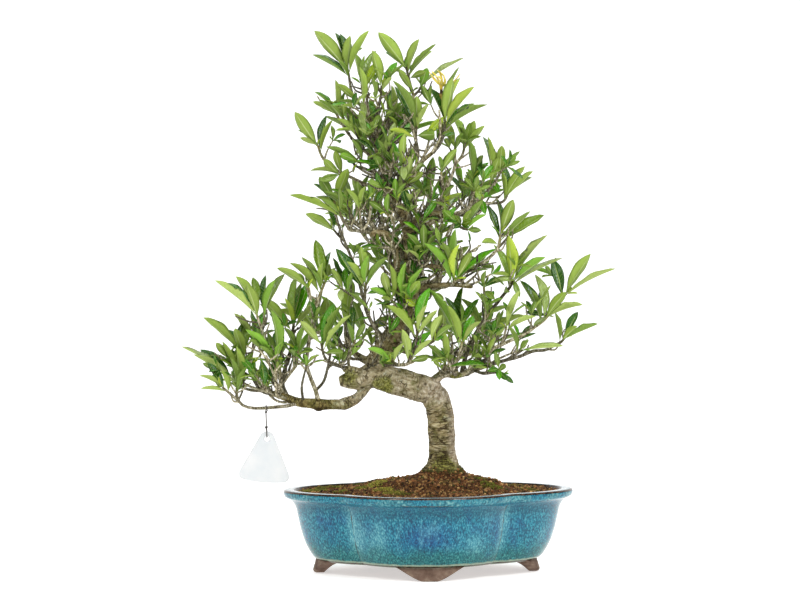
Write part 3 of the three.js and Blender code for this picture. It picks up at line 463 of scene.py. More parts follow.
def make_tag():
    """The blank card with rounded edges and a hole."""
    edge = tag_outline()
    hole = circle(TAG_SHOULDER, TAG_SHOULDER + 2, len(edge), TAG_HOLE, False)
    lean = math.radians(TAG_LEAN)
    rings = []
    for share, y in TAG_SECTION:
        flat = hole + (edge - hole) * share
        x = flat[:, 0] * math.cos(lean) + flat[:, 1] * math.sin(lean)
        z = flat[:, 1] * math.cos(lean) - flat[:, 0] * math.sin(lean)
        rings.append(np.stack([x, np.full_like(x, y * TAG_THICK / 2), z], axis=1) + TAG_AT)
    count = len(edge)
    quads = grid_quads(len(rings), count, True)
    i = np.arange(count)
    j = (i + 1) % count
    last = (len(rings) - 1) * count
    wall = np.stack([last + i, last + j, j, i], axis=1)
    shape = Shape()
    shape.add(np.vstack(rings), quads, wall)
    return shape.make("tag_blank", [tag_card()], "card", ["hang_tag"])


def make_knots():
    """Small overhand knots where the thread closes on itself, below the stem and above the tag."""
    shape = Shape()
    for centre, size in ((THREAD_ROUTE[-1], 1.0), (UPPER_KNOT, 0.8)):
        middle = STEM_AT + np.array(centre) + (0, 0.6, 0.3)
        for k in range(2):
            t = np.linspace(0, 2 * math.pi, 19)
            loop = np.stack([np.cos(t) * size, np.sin(t) * size * 0.8,
                             np.sin(t + k * 2) * size * 0.7], axis=1)
            rows = np.column_stack([middle + loop, np.full(len(t), THREAD * 0.45)])
            points, quads, ends, share = tube(rows, THREAD_SIDES)
            shape.add(points, quads, ends, place=place_values(share, 0))
    return shape.make("tag_knots", [thread_fibre()], "thread")


tag = make_tag()
thread, thread_path, thread_length = make_thread()
knots = make_knots()


# Pot: four lobes with a crease between them, glazed down to its bare clay feet
RIM_HALF_WIDTH, RIM_HALF_DEPTH = 144.5, 116
NOTCH_X, NOTCH_Y = 80, 75
NOTCH = math.atan2(NOTCH_Y, NOTCH_X)
LOBE_WIDTH = NOTCH_X / math.sqrt(1 - (NOTCH_Y / RIM_HALF_DEPTH) ** 2)
LOBE_DEPTH = NOTCH_Y / math.sqrt(1 - (NOTCH_X / RIM_HALF_WIDTH) ** 2)
LOBE_STEPS = 44
FOOT_HEIGHT, FOOT_LENGTH = 12.5, 68
# How much further out each foot stands: right, back, left and front
FEET_OUT = [0, 0, 5, 0]
# A foot's section, as distances from the pot's underside edge and shares of its height
FOOT_SECTION = [
    (-0.5, 0), (1.6, 0.06), (2.4, 0.16), (1.6, 0.4), (0.2, 0.7), (-0.6, 1), (-22, 1), (-18, 0.66),
    (-12, 0.26), (-8, 0),
]
DRAIN_RADIUS, DRAIN_X, DRAIN_SIDES = 9, 52, 32
# Shares of the rim's outline and heights
POT_BODY = [
    (0.735, 12.5), (0.757, 13.6), (0.79, 17.5), (0.838, 29), (0.873, 43), (0.896, 57),
    (0.907, 64), (0.922, 68.5), (0.941, 71.6), (0.957, 73.2),
]
POT_LIP = [
    (0.957, 73.2), (0.969, 74.0), (0.983, 75.0), (0.992, 76.2), (0.9975, 77.8), (0.9998, 79.4),
    (0.9988, 80.8), (0.994, 81.8), (0.986, 82.5), (0.976, 82.7),
]
POT_TOP = [(0.976, 82.7), (0.93, 82.7), (0.921, 82.2), (0.915, 80.5)]
POT_INSIDE = [(0.915, 80.5), (0.845, 66), (0.7, 21)]
LIP_FROM = 72
# Spots of deep blue glaze, spots of pale glaze painted as highlights where the lamps reflect on the
# lobes, and a dark spot along the lip's lower edge at the front, partly the lip's tan edge and
# partly painted shadow of the crevice under it; each as its strength, x and height, half width and
# half height
DEEP_SPOTS = [
    (1, -2, 43, 24, 15), (0.3, -93, 50, 8, 10), (0.5, -56, 50, 7, 9), (0.5, 66, 52, 16, 10),
]
HIGHLIGHT_SPOTS = [(0.9, -46, 38, 6, 20), (0.7, 43, 32, 9, 12), (0.4, -66, 40, 7, 22)]
LIP_SHADOW_SPOTS = [(0.75, -4, 74.4, 34, 0.8)]


def rim_at(angle):
    c, s = np.cos(angle), np.sin(angle)
    wide = 1 / np.hypot(c / RIM_HALF_WIDTH, s / LOBE_DEPTH)
    deep = 1 / np.hypot(c / LOBE_WIDTH, s / RIM_HALF_DEPTH)
    return np.maximum(wide, deep)


def rim_towards(angle):
    """The rim's distance from the axis in one direction."""
    return float(rim_at(np.array([angle]))[0])


def lobe_angles(steps):
    """Directions round the pot, closest together at the creases."""
    share = np.sin(np.linspace(-1, 1, steps, endpoint=False) * math.pi / 2)
    halves = [NOTCH, math.pi / 2 - NOTCH, NOTCH, math.pi / 2 - NOTCH]
    return np.concatenate([lobe * math.pi / 2 + share * half for lobe, half in enumerate(halves)])


def outline(share, height, angles):
    r = rim_at(angles) * share
    return np.stack([r * np.cos(angles), r * np.sin(angles), np.full_like(r, height)], axis=1)


def stretched_left(points):
    """The points as on a hand-thrown pot, whose left lobe is a little longer."""
    moved = np.array(points, float)
    moved[..., 0] -= 3.4 * np.sin(np.clip(-moved[..., 0] / 150, 0, 1) * math.pi)
    return moved


def profile(rows, step):
    """Shares and heights every step along a smooth profile."""
    line = smooth_line([(share * RIM_HALF_DEPTH, height, 0) for share, height in rows], step)
    return [(out / RIM_HALF_DEPTH, height) for out, height, _ in line]


def spots(points, rows):
    """How strongly each point lies in soft spots on the pot's front."""
    sums = np.zeros(len(points))
    for strength, x, z, wide, high in rows:
        away = ((points[:, 0] - x) / wide) ** 2 + ((points[:, 2] - z) / high) ** 2
        sums += strength * np.exp(-away) * (points[:, 1] < 0)
    return sums


def pot_glaze():
    look = Look("pot_glaze", Roughness=0.12, Specular_IOR_Level=0.34)
    edge, lip, flat = look.values("zone")
    deep, pale, height = look.values("mottle")
    runs = look.stretched((1, 1, 0.55))
    speckle = look.noise(1.35, 3, runs, 0.62)
    cloud = look.noise(24, 3, look.stretched((1, 1, 0.6)))
    blue = look.ramp(speckle, (0.36, "01354f"), (0.47, "035a72"), (0.56, "107c90"),
                     (0.68, "4fa0a9"))
    deeper = look.ramp(speckle, (0.36, "012a50"), (0.5, "02487a"), (0.6, "08638e"), (0.7, "3488a4"))
    paler = look.ramp(speckle, (0.34, "257087"), (0.5, "4b93a0"), (0.68, "8ac2c0"))
    teal = look.ramp(speckle, (0.36, "023939"), (0.5, "0b5e60"), (0.68, "428d83"))
    depths = look.math("ADD", deep, look.fade(cloud, 0.52, 0.68, 0.0, 0.55), clamp=True)
    shown = look.mix(depths, blue, deeper)
    # Paler glaze in patches of the cloud noise, plus the painted highlight spots and the paler
    # bands along the creases
    pales = look.math("ADD", pale, look.fade(cloud, 0.32, 0.44, 0.3, 0.0), clamp=True)
    shown = look.mix(pales, shown, paler)
    low = look.math("MULTIPLY_ADD", look.noise(16, 2), 20, height)
    shown = look.mix(look.fade(low, 30, 48, 0.85, 0.0), shown, teal)
    seam = look.math("MULTIPLY_ADD", look.noise(8, 2), 3, height)
    shown = look.mix(look.fade(seam, 17.2, 18.6, 0.5, 0.0), shown, colour("b7bd9c"))
    # Painted shade: the glaze darker towards the lip, in the shadow under it
    shown = look.mix(look.fade(height, 56, 69, 0.0, 0.45), shown, colour("063f52"))
    lips = look.ramp(look.noise(2.4, 3), (0.36, "0a4250"), (0.5, "2a7783"), (0.68, "7fb0ab"))
    blues = look.mix(look.fade(look.noise(26, 2), 0.4, 0.6, 0.25, 1), lips, blue)
    shown = look.mix(lip, shown, blues)
    tops = look.ramp(look.noise(5, 4), (0.35, "5f7c8c"), (0.6, "a9b7bd"))
    shown = look.mix(flat, shown, tops)
    # The dark break colour marks where the glaze thins at the lip's top edge; it also paints shadow
    # lines under the lip, down the creases and partly at the hem
    ragged = look.math("MULTIPLY_ADD", look.noise(7, 3), 0.5, edge)
    breaks_and_shadow_lines = look.ramp(look.noise(3, 3), (0.4, "1c100b"), (0.65, "574030"))
    shown = look.mix(look.fade(ragged, 0.6, 0.85), shown, breaks_and_shadow_lines)
    rough = look.fade(look.noise(2.2, 3), 0.4, 0.8, 0.07, 0.22)
    return look.finish(shown, rough, look.noise(3.5, 3), 0.1, 0.4)


def pot_clay():
    look = Look("pot_clay", Roughness=0.85, Specular_IOR_Level=0.25)
    grit = look.noise(1.2, 4)
    base = look.ramp(look.noise(9, 4), (0.3, "523f34"), (0.5, "6f594c"), (0.7, "897665"))
    specks = look.fade(look.cells(1.7), 0.12, 0.22, 0.55, 0.0)
    return look.finish(look.mix(specks, base, colour("3f2c24")), None, grit, 0.25, 0.8)


def make_pot():
    shape = Shape()
    angles = lobe_angles(LOBE_STEPS)
    columns = len(angles)
    parts = [(profile(POT_BODY, 1.1), 0, 0), (profile(POT_LIP, 0.5), 1, 0),
             (profile(POT_TOP, 0.6), 0, 1), (profile(POT_INSIDE, 60), 0, 0)]
    rings, zones = [], []
    for line, lip, flat in parts:
        for share, height in line[:-1]:
            rings.append(outline(share, height, angles))
            edge = math.exp(-((height - 81.7) / 1.1) ** 2) * (share > 0.985)
            # under is a faint dark ring just below the lip, painted shadow of the crevice under it;
            # hem is a dark line at the glaze's lower edge, partly bare clay and partly painted
            # shadow under the body
            under = 0.3 * math.exp(-((share - 0.962) / 0.006) ** 2) * (height < 76)
            hem = 0.8 * math.exp(-((height - 14) / 1) ** 2)
            inner = 0.6 * (share < 0.925) * (height > 78)
            zones.append((max(edge, under, hem, inner), lip * (height > 74), flat))
    rings.append(outline(*POT_INSIDE[-1], angles))
    zones.append((0.6, 0, 0))
    points = np.vstack(rings)
    turn = np.tile(angles, len(rings))
    crease = np.minimum.reduce([np.abs((turn - corner + math.pi) % (2 * math.pi) - math.pi)
                                for corner in (NOTCH, math.pi - NOTCH, math.pi + NOTCH, -NOTCH)])
    below = points[:, 2] < LIP_FROM
    deep = spots(points, DEEP_SPOTS)
    # Painted highlights: the pale spots on the lobes, plus a paler band along each crease
    pale = spots(points, HIGHLIGHT_SPOTS) + 0.8 * np.exp(-(crease / 0.05) ** 2) * below
    mottle = np.stack([deep, pale, points[:, 2]], axis=1)
    zone = np.repeat(zones, columns, axis=0)
    # Painted shade in the break colour: a thin dark line down each crease below the lip, and the
    # dark spot under the lip's front
    line = 0.5 * np.exp(-(crease / 0.012) ** 2) * below
    zone[:, 0] = np.maximum.reduce([zone[:, 0], line, spots(points, LIP_SHADOW_SPOTS)])
    shape.add(stretched_left(points), grid_quads(len(rings), columns, True), zone=zone,
              mottle=mottle)
    add_floors(shape, angles)
    for lobe, out in enumerate(FEET_OUT):
        add_foot(shape, lobe * math.pi / 2, out)
    pot = shape.make("pot_glazed", [pot_glaze(), pot_clay()], "glaze", ["pot"])
    pot.data.set_sharp_from_angle(angle=math.radians(50))


def foot_edge(aside):
    """Height of a foot's lower edge, by the distance from its middle."""
    share = np.clip((np.abs(aside) / (FOOT_LENGTH / 2) - 0.2) / 0.8, 0, 1)
    eased = 0.55 * share ** 1.15 + 0.45 * (3 - 2 * share) * share ** 2
    return FOOT_HEIGHT * eased + 1.5 * share ** 6


def add_foot(shape, heading, further):
    asides = np.linspace(-FOOT_LENGTH / 2, FOOT_LENGTH / 2, 49)
    top = FOOT_HEIGHT + 2
    sections = []
    for aside, low in zip(asides, foot_edge(asides)):
        angle = heading
        for _ in range(6):
            reach = rim_towards(angle) * 0.75
            angle = heading + math.asin(max(-0.9, min(0.9, aside / reach)))
        out = reach * math.cos(angle - heading) + further
        sections.append([(out + away, aside, low + (top - low) * share)
                         for away, share in FOOT_SECTION])
    local = np.array(sections).reshape(-1, 3)
    c, s = math.cos(heading), math.sin(heading)
    points = np.stack([local[:, 0] * c - local[:, 1] * s, local[:, 0] * s + local[:, 1] * c,
                       local[:, 2]], axis=1)
    shape.add_stack(points, len(FOOT_SECTION), slot=1, zone=0, mottle=0)


def add_floors(shape, angles):
    """The underside and the inner floor, each with the two drain holes, and the holes' walls."""
    turn = np.linspace(0, 2 * math.pi, DRAIN_SIDES, endpoint=False)
    holes = []
    for way, (share, height) in ((-1, POT_BODY[0]), (1, POT_INSIDE[-1])):
        loops = [stretched_left(outline(share, height, angles))]
        for side in (-1, 1):
            x, y = side * DRAIN_X + DRAIN_RADIUS * np.cos(turn), DRAIN_RADIUS * np.sin(turn)
            loops.append(np.stack([x, y, np.full_like(x, height)], axis=1))
        faces = np.array(tessellate_polygon([[Vector(p) for p in loop] for loop in loops]))
        points = np.vstack(loops)
        corners = points[faces]
        ups = np.cross(corners[:, 1] - corners[:, 0], corners[:, 2] - corners[:, 0])[:, 2]
        faces[ups * way < 0] = faces[ups * way < 0][:, ::-1]
        shape.add(points, faces, slot=1, zone=0, mottle=0)
        holes.append(loops[1:])
    for low, high in zip(*holes):
        wall = grid_quads(2, DRAIN_SIDES, True)
        shape.add(np.vstack([high, low]), wall, slot=1, zone=0, mottle=0)


make_pot()


# Soil: granules on a mound, with moss at the trunk and in patches
SOIL_EDGE = 79.5
SOIL_REACH = 0.907
SOIL_WALL = [(0.679, 21.4), (0.83655, 66)]
MOUND_SHARES = [0, 0.1, 0.2, 0.33, 0.45, 0.56, 0.72, 1]
MOUND_RISES = [24, 19, 15, 13, 11.5, 5, 2.5, 0]
TRUNK_X = 15


def soil_height(angle, share):
    rise = np.interp(share, MOUND_SHARES, MOUND_RISES)
    lumps = np.sin(3 * angle + 5 * share) + np.sin(5 * angle - 7 * share + 1)
    back = 1.6 * np.maximum(0, np.sin(angle)) * share ** 4
    return SOIL_EDGE + rise + back + 1.5 * lumps * (1 - share) * 2 * share


def soil_point(angle, share):
    r = rim_at(angle) * share * SOIL_REACH
    towards = TRUNK_X * (1 - share)
    x, y = r * np.cos(angle) + towards, r * np.sin(angle)
    away = np.hypot(x - TRUNK_X, y)
    collar = 7 * np.exp(-((away - 14) / 9) ** 2)
    return stretched_left(np.stack([x, y, soil_height(angle, share) + collar], axis=-1))


def soil_earth():
    look = Look("soil_earth", Roughness=0.95, Specular_IOR_Level=0.2)
    grain = look.noise(1.4, 4)
    base = look.ramp(grain, (0.35, "1d1109"), (0.5, "452a15"), (0.68, "77502c"))
    return look.finish(base, None, look.noise(2.2, 4), 1.2)


def soil_grain():
    look = Look("soil_grain", Roughness=0.92, Specular_IOR_Level=0.2)
    pits = look.noise(0.9, 3)
    shade = look.fade(pits, 0.3, 0.7, 0.62, 1.15)
    grey = look.node("CombineColor", {0: shade, 1: shade, 2: shade}).outputs[0]
    return look.finish(look.tinted(look.attribute("tone"), grey), None, pits, 0.3)


def moss_green():
    look = Look("moss_green", Roughness=0.9, Specular_IOR_Level=0.25)
    patch = look.fade(look.noise(1.6, 3), 0.35, 0.65)
    shown = look.mix(patch, look.attribute("tone"), colour("55561f"))
    return look.finish(shown, None, look.noise(0.8, 3), 0.3)


def make_soil():
    shape = Shape()
    angles = lobe_angles(24)
    rings = [stretched_left(outline(*row, angles)) for row in SOIL_WALL]
    for share in np.linspace(1, 0.12, 30):
        ring = soil_point(angles, share)
        lift = [noise.fractal(Vector(point) * 0.16, 1, 2, 3) for point in ring]
        ring[:, 2] += np.array(lift) * 1.1 * min(1, (1 - share) * 8)
        rings.append(ring)
    shape.add_stack(np.vstack(rings), len(angles))
    shape.make("soil_mound", [soil_earth()], "soil", ["soil"])


GRAIN_COUNT = 7400
FINE_GRAIN, COARSE_GRAIN, FINE_SHARE = (0.6, 1.2), (1.2, 2.0), 0.75
BARE_RADIUS = 15
GRAIN_CORNERS = np.array([
    (0, 1, 1.618), (0, -1, 1.618), (0, 1, -1.618), (0, -1, -1.618), (1, 1.618, 0), (-1, 1.618, 0),
    (1, -1.618, 0), (-1, -1.618, 0), (1.618, 0, 1), (-1.618, 0, 1), (1.618, 0, -1), (-1.618, 0, -1),
]) / 1.9
GRAIN_FACES = [
    (0, 1, 8), (0, 8, 4), (0, 4, 5), (0, 5, 9), (0, 9, 1), (1, 6, 8), (8, 6, 10), (8, 10, 4),
    (4, 10, 2), (4, 2, 5), (5, 2, 11), (5, 11, 9), (9, 11, 7), (9, 7, 1), (1, 7, 6), (3, 6, 7),
    (3, 7, 11), (3, 11, 2), (3, 2, 10), (3, 10, 6),
]
GRAIN_TONES = [
    "5c3b21", "704727", "805230", "40301a", "91663f", "9d7a47", "614324", "9a7244", "b8945f",
    "545028", "33241a", "7d5a3c",
]


def scatter(count):
    """Angles and shares spread evenly over the soil's surface."""
    return [(random.uniform(-math.pi, math.pi), 0.99 * math.sqrt(random.uniform(0.012, 1)))
            for _ in range(count)]


def make_grains():
    shape = Shape()
    for angle, share in scatter(GRAIN_COUNT):
        size = random.uniform(*(FINE_GRAIN if random.random() < FINE_SHARE else COARSE_GRAIN))
        place = soil_point(np.array(angle), share)
        if np.hypot(place[0] - TRUNK_X, place[1]) < BARE_RADIUS:
            continue
        place[2] += size * random.uniform(-0.2, 0.45)
        scale = np.array([random.uniform(0.55, 1.3) for _ in range(3)]) * size
        uneven = np.random.default_rng(shape.count).uniform(0.8, 1.15, (len(GRAIN_CORNERS), 1))
        corners = GRAIN_CORNERS * scale * uneven
        a, b = random.uniform(0, FULL_TURN), random.uniform(0, FULL_TURN)
        turn = np.array([[math.cos(a), -math.sin(a), 0], [math.sin(a), math.cos(a), 0], [0, 0, 1]])
        tilt = np.array([[1, 0, 0], [0, math.cos(b), -math.sin(b)], [0, math.sin(b), math.cos(b)]])
        tone = np.array(colour(random.choice(GRAIN_TONES))[:3]) * random.uniform(0.55, 1.4)
        shape.add(corners @ (turn @ tilt).T + place, GRAIN_FACES, tone=tone)
    shape.make("soil_granules", [soil_grain()], "soil")


# Moss patches as x and y of the middle, radius, leaflets and tone
MOSS = [
    (-50, -22, 9, 330, "cfc75a"), (-42, -40, 8, 230, "c4bb50"), (-33, -56, 8, 200, "a8a440"),
    (-62, -26, 7, 150, "9a9a38"), (-84, -34, 6, 90, "979a40"), (-24, -66, 6, 90, "77752e"),
    (62, -30, 9, 200, "858a2e"), (48, -18, 7, 100, "6d7228"), (-112, -6, 12, 260, "9a9c40"),
    (-98, 24, 12, 220, "8b8f38"), (88, 12, 10, 120, "6a6f2a"), (20, 60, 14, 260, "6f7a2c"),
    (-60, 50, 12, 200, "77802e"), (100, -22, 8, 90, "7a7a34"),
]
# The dark moss round the trunk
COLLAR_LEAFLETS = 1300
COLLAR_RADII = (12.5, 21)
COLLAR_TONES = ["2f2c14", "3d3a1a", "4e4a22", "63602a"]


def soil_under(x, y):
    """The soil's surface below a place seen from above."""
    share = 0.5
    for _ in range(8):
        dx = x - TRUNK_X * (1 - share)
        angle = math.atan2(y, dx)
        share = min(1.0, math.hypot(dx, y) / (rim_towards(angle) * SOIL_REACH))
    return soil_point(np.array(angle), share)


def add_leaflet(shape, root, size, tone):
    lean = np.array([random.gauss(0, 0.5), random.gauss(0, 0.5), 1])
    tip = root + unit(lean) * size
    turn = random.uniform(0, FULL_TURN) + np.arange(3) * 2.094
    corners = root + size * 0.3 * np.stack([np.cos(turn), np.sin(turn), [-0.3] * 3], axis=1)
    shade = np.array(colour(tone)[:3]) * random.uniform(0.55, 1.25)
    shape.add(np.vstack([corners, [tip]]), [(0, 2, 1), (0, 1, 3), (1, 2, 3), (2, 0, 3)], tone=shade)


def make_moss():
    shape = Shape()
    for x, y, radius, count, tone in MOSS:
        for _ in range(count):
            r, a = radius * math.sqrt(random.random()), random.uniform(0, FULL_TURN)
            root = soil_under(x + r * math.cos(a) * 1.3, y + r * math.sin(a) * 0.8)
            root[2] += 1.2 * (1 - (r / radius) ** 2)
            add_leaflet(shape, root, random.uniform(1.2, 2.4), tone)
    for _ in range(COLLAR_LEAFLETS):
        a, away = random.uniform(0, FULL_TURN), random.uniform(*COLLAR_RADII)
        root = soil_under(TRUNK_X + away * math.cos(a), away * math.sin(a))
        tone = random.choice(COLLAR_TONES)
        add_leaflet(shape, root, random.uniform(1.2, 2.6), tone)
    shape.make("moss_patches", [moss_green()], "soil")


make_soil()
make_grains()
make_moss()


# Trunk and its limbs, as x, z, y and radius seen from the front
TRUNK_LENGTHS = [
    [
        [14, 76, 0, 10], [13.5, 90, 0, 19], [14, 101, 0, 18.6], [14, 108, 0, 15.3],
        [14, 118, 0, 14], [14, 131, 0, 13.3], [13, 151, 0, 13.4], [11, 165, 0, 13.8],
        [7, 174, 0, 13.2], [0, 181, 0, 9],
    ],
    [
        [11, 176, 0, 7], [7, 178, 0, 11.8], [-2, 181.5, 0, 13.8], [-17, 185.5, -1, 14],
        [-33, 190, -2, 14.2], [-45, 194, -3, 14], [-56, 196, -5, 12], [-68, 192, -7, 10],
        [-80, 191, -9, 8], [-88, 190, -10, 5],
    ],
    [
        [-40, 188, -2, 10], [-48, 197, -2, 13], [-48, 208, -1, 13], [-41, 222, 0, 12],
        [-29, 237, 0, 10.6], [-22, 256, 0, 9.2], [-16, 281, 0, 8.3], [-15, 309, 0, 7.9],
        [-16, 331, 0, 7.6], [-19, 349, 0, 7.2], [-29, 364, -1, 6.2], [-37, 381, -2, 5.4],
        [-41, 401, -2, 4.7], [-47, 421, -1, 4], [-53, 441, 0, 3.3], [-58, 455, 0, 2.4],
    ],
]
LIMBS = [
    [
        [-56, 192, -2, 5.5], [-63, 182, -5, 5], [-71, 173, -9, 5.2], [-82, 168, -12, 6.4],
        [-88, 167, -14, 5.2], [-103, 167, -16, 5.3], [-109, 167, -17, 6.6], [-115, 168, -17, 5.2],
        [-130, 170, -18, 4.6], [-143, 175, -17, 3.9], [-156, 179, -15, 2.9],
    ],
    [[-66, 196, -8, 7], [-78, 201, -14, 5], [-84, 203, -18, 3]],
    [
        [2, 184, -2, 4], [10, 191, -7, 2.3], [19, 195, -9, 2.1], [27, 195, -9, 3.4],
        [34, 196, -10, 3], [42, 198, -11, 2.3], [49, 201, -12, 2.4], [63, 206, -13, 2.2],
    ],
    [[-28, 222, -4, 3.5], [-16, 219, -14, 3], [-6, 223, -19, 2.2]],
    [
        [-24, 268, -2, 3.5], [-29, 284, -9, 3.4], [-30, 309, -12, 3.2], [-33, 328, -13, 3.2],
        [-40, 337, -13, 3.2], [-50, 338, -14, 3.8], [-57, 337, -15, 3],
    ],
    [
        [-18, 347, 0, 5], [-4, 353, -6, 4], [7, 357, -9, 3.6], [20, 355, -11, 3],
        [33, 357, -12, 2.5],
    ],
    [
        [-14, 303, 0, 4.5], [-2, 305, -8, 2.6], [12, 304, -12, 2.3], [28, 300, -16, 2.1],
        [43, 299, -18, 1.9],
    ],
    [[-15, 281, 0, 5], [6, 285, -11, 2.8], [25, 286, -17, 2.6], [46, 284, -21, 2.4]],
    [
        [-30, 368, -1, 4], [-20, 385, -6, 3], [-14, 397, -9, 2.7], [-8, 406, -11, 2.5],
        [0, 413, -13, 2.2], [9, 420, -14, 2],
    ],
    [[-46, 204, 2, 6], [-58, 209, 18, 4.4], [-70, 216, 36, 3.5], [-80, 224, 54, 2.6]],
    [[4, 186, 2, 6], [14, 197, 20, 4.2], [24, 206, 40, 3.3], [34, 215, 58, 2.5]],
    [[-22, 256, 2, 5], [-20, 266, 18, 3.9], [-17, 277, 36, 3.2], [-14, 288, 52, 2.5]],
    [[-15, 312, 2, 5], [-26, 321, 16, 3.6], [-38, 331, 30, 2.9], [-50, 340, 42, 2.4]],
    [[-17, 335, 2, 5], [-6, 342, 16, 3.4], [6, 349, 30, 2.8], [18, 356, 42, 2.3]],
    [[-40, 396, 0, 3.6], [-40, 405, 12, 2.7], [-42, 415, 24, 2.3], [-44, 424, 34, 2]],
]
BARK_VOXEL = 1.05
STEM_STEP = 1.6
# How far each stem's grain starts from the one before, in millimetres, and points handled at once
STEM_OFFSET = 97.0
BLOCK = 4000
# Scars of old cuts and patches of moss, as x, z and y of the middle and their radius
SCARS = [((-83, 163, -12), 5), ((-109, 162, -19), 6), ((-6, 200, -14), 3), ((-2, 187, -14), 2.5)]
MOSSY = [((-78, 196, -12), 11), ((29, 193, -9), 8), ((15, 103, -14), 15), ((-45, 184, -16), 13)]
TRUNK_BEND = (14, -6, 181)


def trunk_bark():
    look = Look("trunk_bark", Roughness=0.88, Specular_IOR_Level=0.15)
    grown = look.attribute("grown", "Vector")
    moss, scar, worn = look.values("marks")
    wide = look.stretched((0.3, 0.3, 1.0), grown)
    swirl = look.node("TexNoise", {"Vector": grown, "Scale": 160, "Detail": 3}).outputs["Color"]
    sway = look.stretched((0.003, 0.003, 0.003), swirl)
    wavy = look.node("VectorMath", {0: wide, 1: sway}, operation="ADD").outputs[0]
    long = look.stretched((0.8, 0.8, 0.4), grown)
    level = look.fade(look.height(), 156, 170)
    rings, streaks = look.noise(1.7, 4, wide, 0.55), look.noise(2.1, 5, long, 0.7)
    wrinkle = look.math("MULTIPLY_ADD", level, look.math("SUBTRACT", streaks, rings), rings)
    ringed = look.stretched((0.6, 0.6, 1.0), wavy)
    level_line = look.math("ABSOLUTE", look.math("SUBTRACT", look.noise(6, 2, ringed, 0.6), 0.5))
    ring = look.fade(level_line, 0.014, 0.055, 1.0, 0.0)
    ring = look.math("MULTIPLY", ring, look.fade(look.noise(12, 2, grown), 0.36, 0.56, 0.15, 0.95))
    ring = look.math("MULTIPLY", ring, look.math("MULTIPLY_ADD", level, -0.75, 1))
    crack = look.fade(look.cells(3.2, "DISTANCE_TO_EDGE", wavy), 0.0, 0.14, 1.0, 0.0)
    crack = look.math("MULTIPLY", crack, look.fade(look.noise(9, 2, grown), 0.42, 0.6, 0.05, 0.9))
    patch = look.noise(13, 4, grown)
    fine = look.noise(1.2, 3, grown)
    wood = look.ramp(wrinkle, (0.3, "5a4d34"), (0.43, "988a69"), (0.56, "bbb090"), (0.74, "e2dbc5"))
    green = look.ramp(wrinkle, (0.3, "33330f"), (0.5, "696838"), (0.72, "93915f"))
    shown = look.mix(look.fade(patch, 0.45, 0.62, 0.0, 0.75), wood, green)
    lichen = look.math("MULTIPLY", look.fade(look.noise(8, 3, grown), 0.6, 0.68),
                       look.fade(fine, 0.4, 0.55))
    shown = look.mix(look.math("MULTIPLY", lichen, 0.7), shown, colour("c3c8b2"))
    flakes = look.ramp(look.noise(2.6, 4, grown), (0.35, "76634f"), (0.5, "b8a890"),
                       (0.68, "e2dacb"))
    shown = look.mix(worn, shown, flakes)
    mossy = look.ramp(look.noise(1.8, 3), (0.35, "383a14"), (0.5, "6f712c"), (0.66, "a9a95a"))
    mosses = look.fade(look.math("MULTIPLY_ADD", fine, 0.5, moss), 0.55, 0.95, 0, 0.85)
    shown = look.mix(mosses, shown, mossy)
    shown = look.mix(look.fade(scar, 0.3, 0.8, 0, 0.85), shown, colour("3f2c1c"))
    crack = look.math("MULTIPLY", look.math("MAXIMUM", crack, ring),
                      look.math("MULTIPLY_ADD", worn, -0.6, 1))
    shown = look.mix(crack, shown, colour("352a1b"))
    height = look.height()
    # Painted shade: the bark darker from about 200 mm up, where the crown shades it
    shown = look.mix(look.fade(height, 196, 222), shown, look.tinted(shown, colour("dcd6c4")))
    # Painted shade: the lower trunk darker below about 170 mm, except where the bark is worn
    low_shade = look.math("SUBTRACT", look.fade(height, 160, 180, 1.0, 0.0), worn, clamp=True)
    shown = look.mix(low_shade, shown, look.tinted(shown, colour("ebe7d8")))
    aside = look.math("DIVIDE", look.node("SeparateXYZ", {0: look.place()}).outputs["X"], -MM)
    low_limb = look.math("MULTIPLY", look.fade(aside, 54, 72),
                         look.fade(height, 184, 204, 1.0, 0.0))
    shown = look.mix(low_limb, shown, look.tinted(shown, colour("cbc7a2")))
    relief = look.math("SUBTRACT", look.math("MULTIPLY_ADD", fine, 0.35, wrinkle),
                       look.math("MULTIPLY", crack, 0.8))
    return look.finish(shown, None, relief, 1.0, 0.9)


def straightened(points, stems):
    """Each point's place on its nearest stem as if that were straight, and that stem's radius."""
    centres, radii, frames, lengths = [], [], [], []
    for k, rows in enumerate(stems):
        ways = np.gradient(rows[:, :3], axis=0)
        normal = START_NORMAL
        run = k * STEM_OFFSET
        for i, (row, way) in enumerate(zip(rows, ways)):
            way = unit(way)
            normal = unit(normal - way * normal.dot(way))
            run += np.linalg.norm(row[:3] - rows[max(i - 1, 0), :3])
            centres.append(row[:3])
            radii.append(row[3])
            frames.append((normal, np.cross(way, normal), way))
            lengths.append(run)
    centres, radii = np.array(centres), np.array(radii)
    frames, lengths = np.array(frames), np.array(lengths)
    best = np.empty(len(points), int)
    for start in range(0, len(points), BLOCK):
        block = points[start:start + BLOCK]
        away = np.linalg.norm(block[:, None] - centres, axis=2) - radii
        best[start:start + BLOCK] = away.argmin(axis=1)
    local = np.einsum("ijk,ik->ij", frames[best], points - centres[best])
    local[:, 2] += lengths[best]
    return local, radii[best]


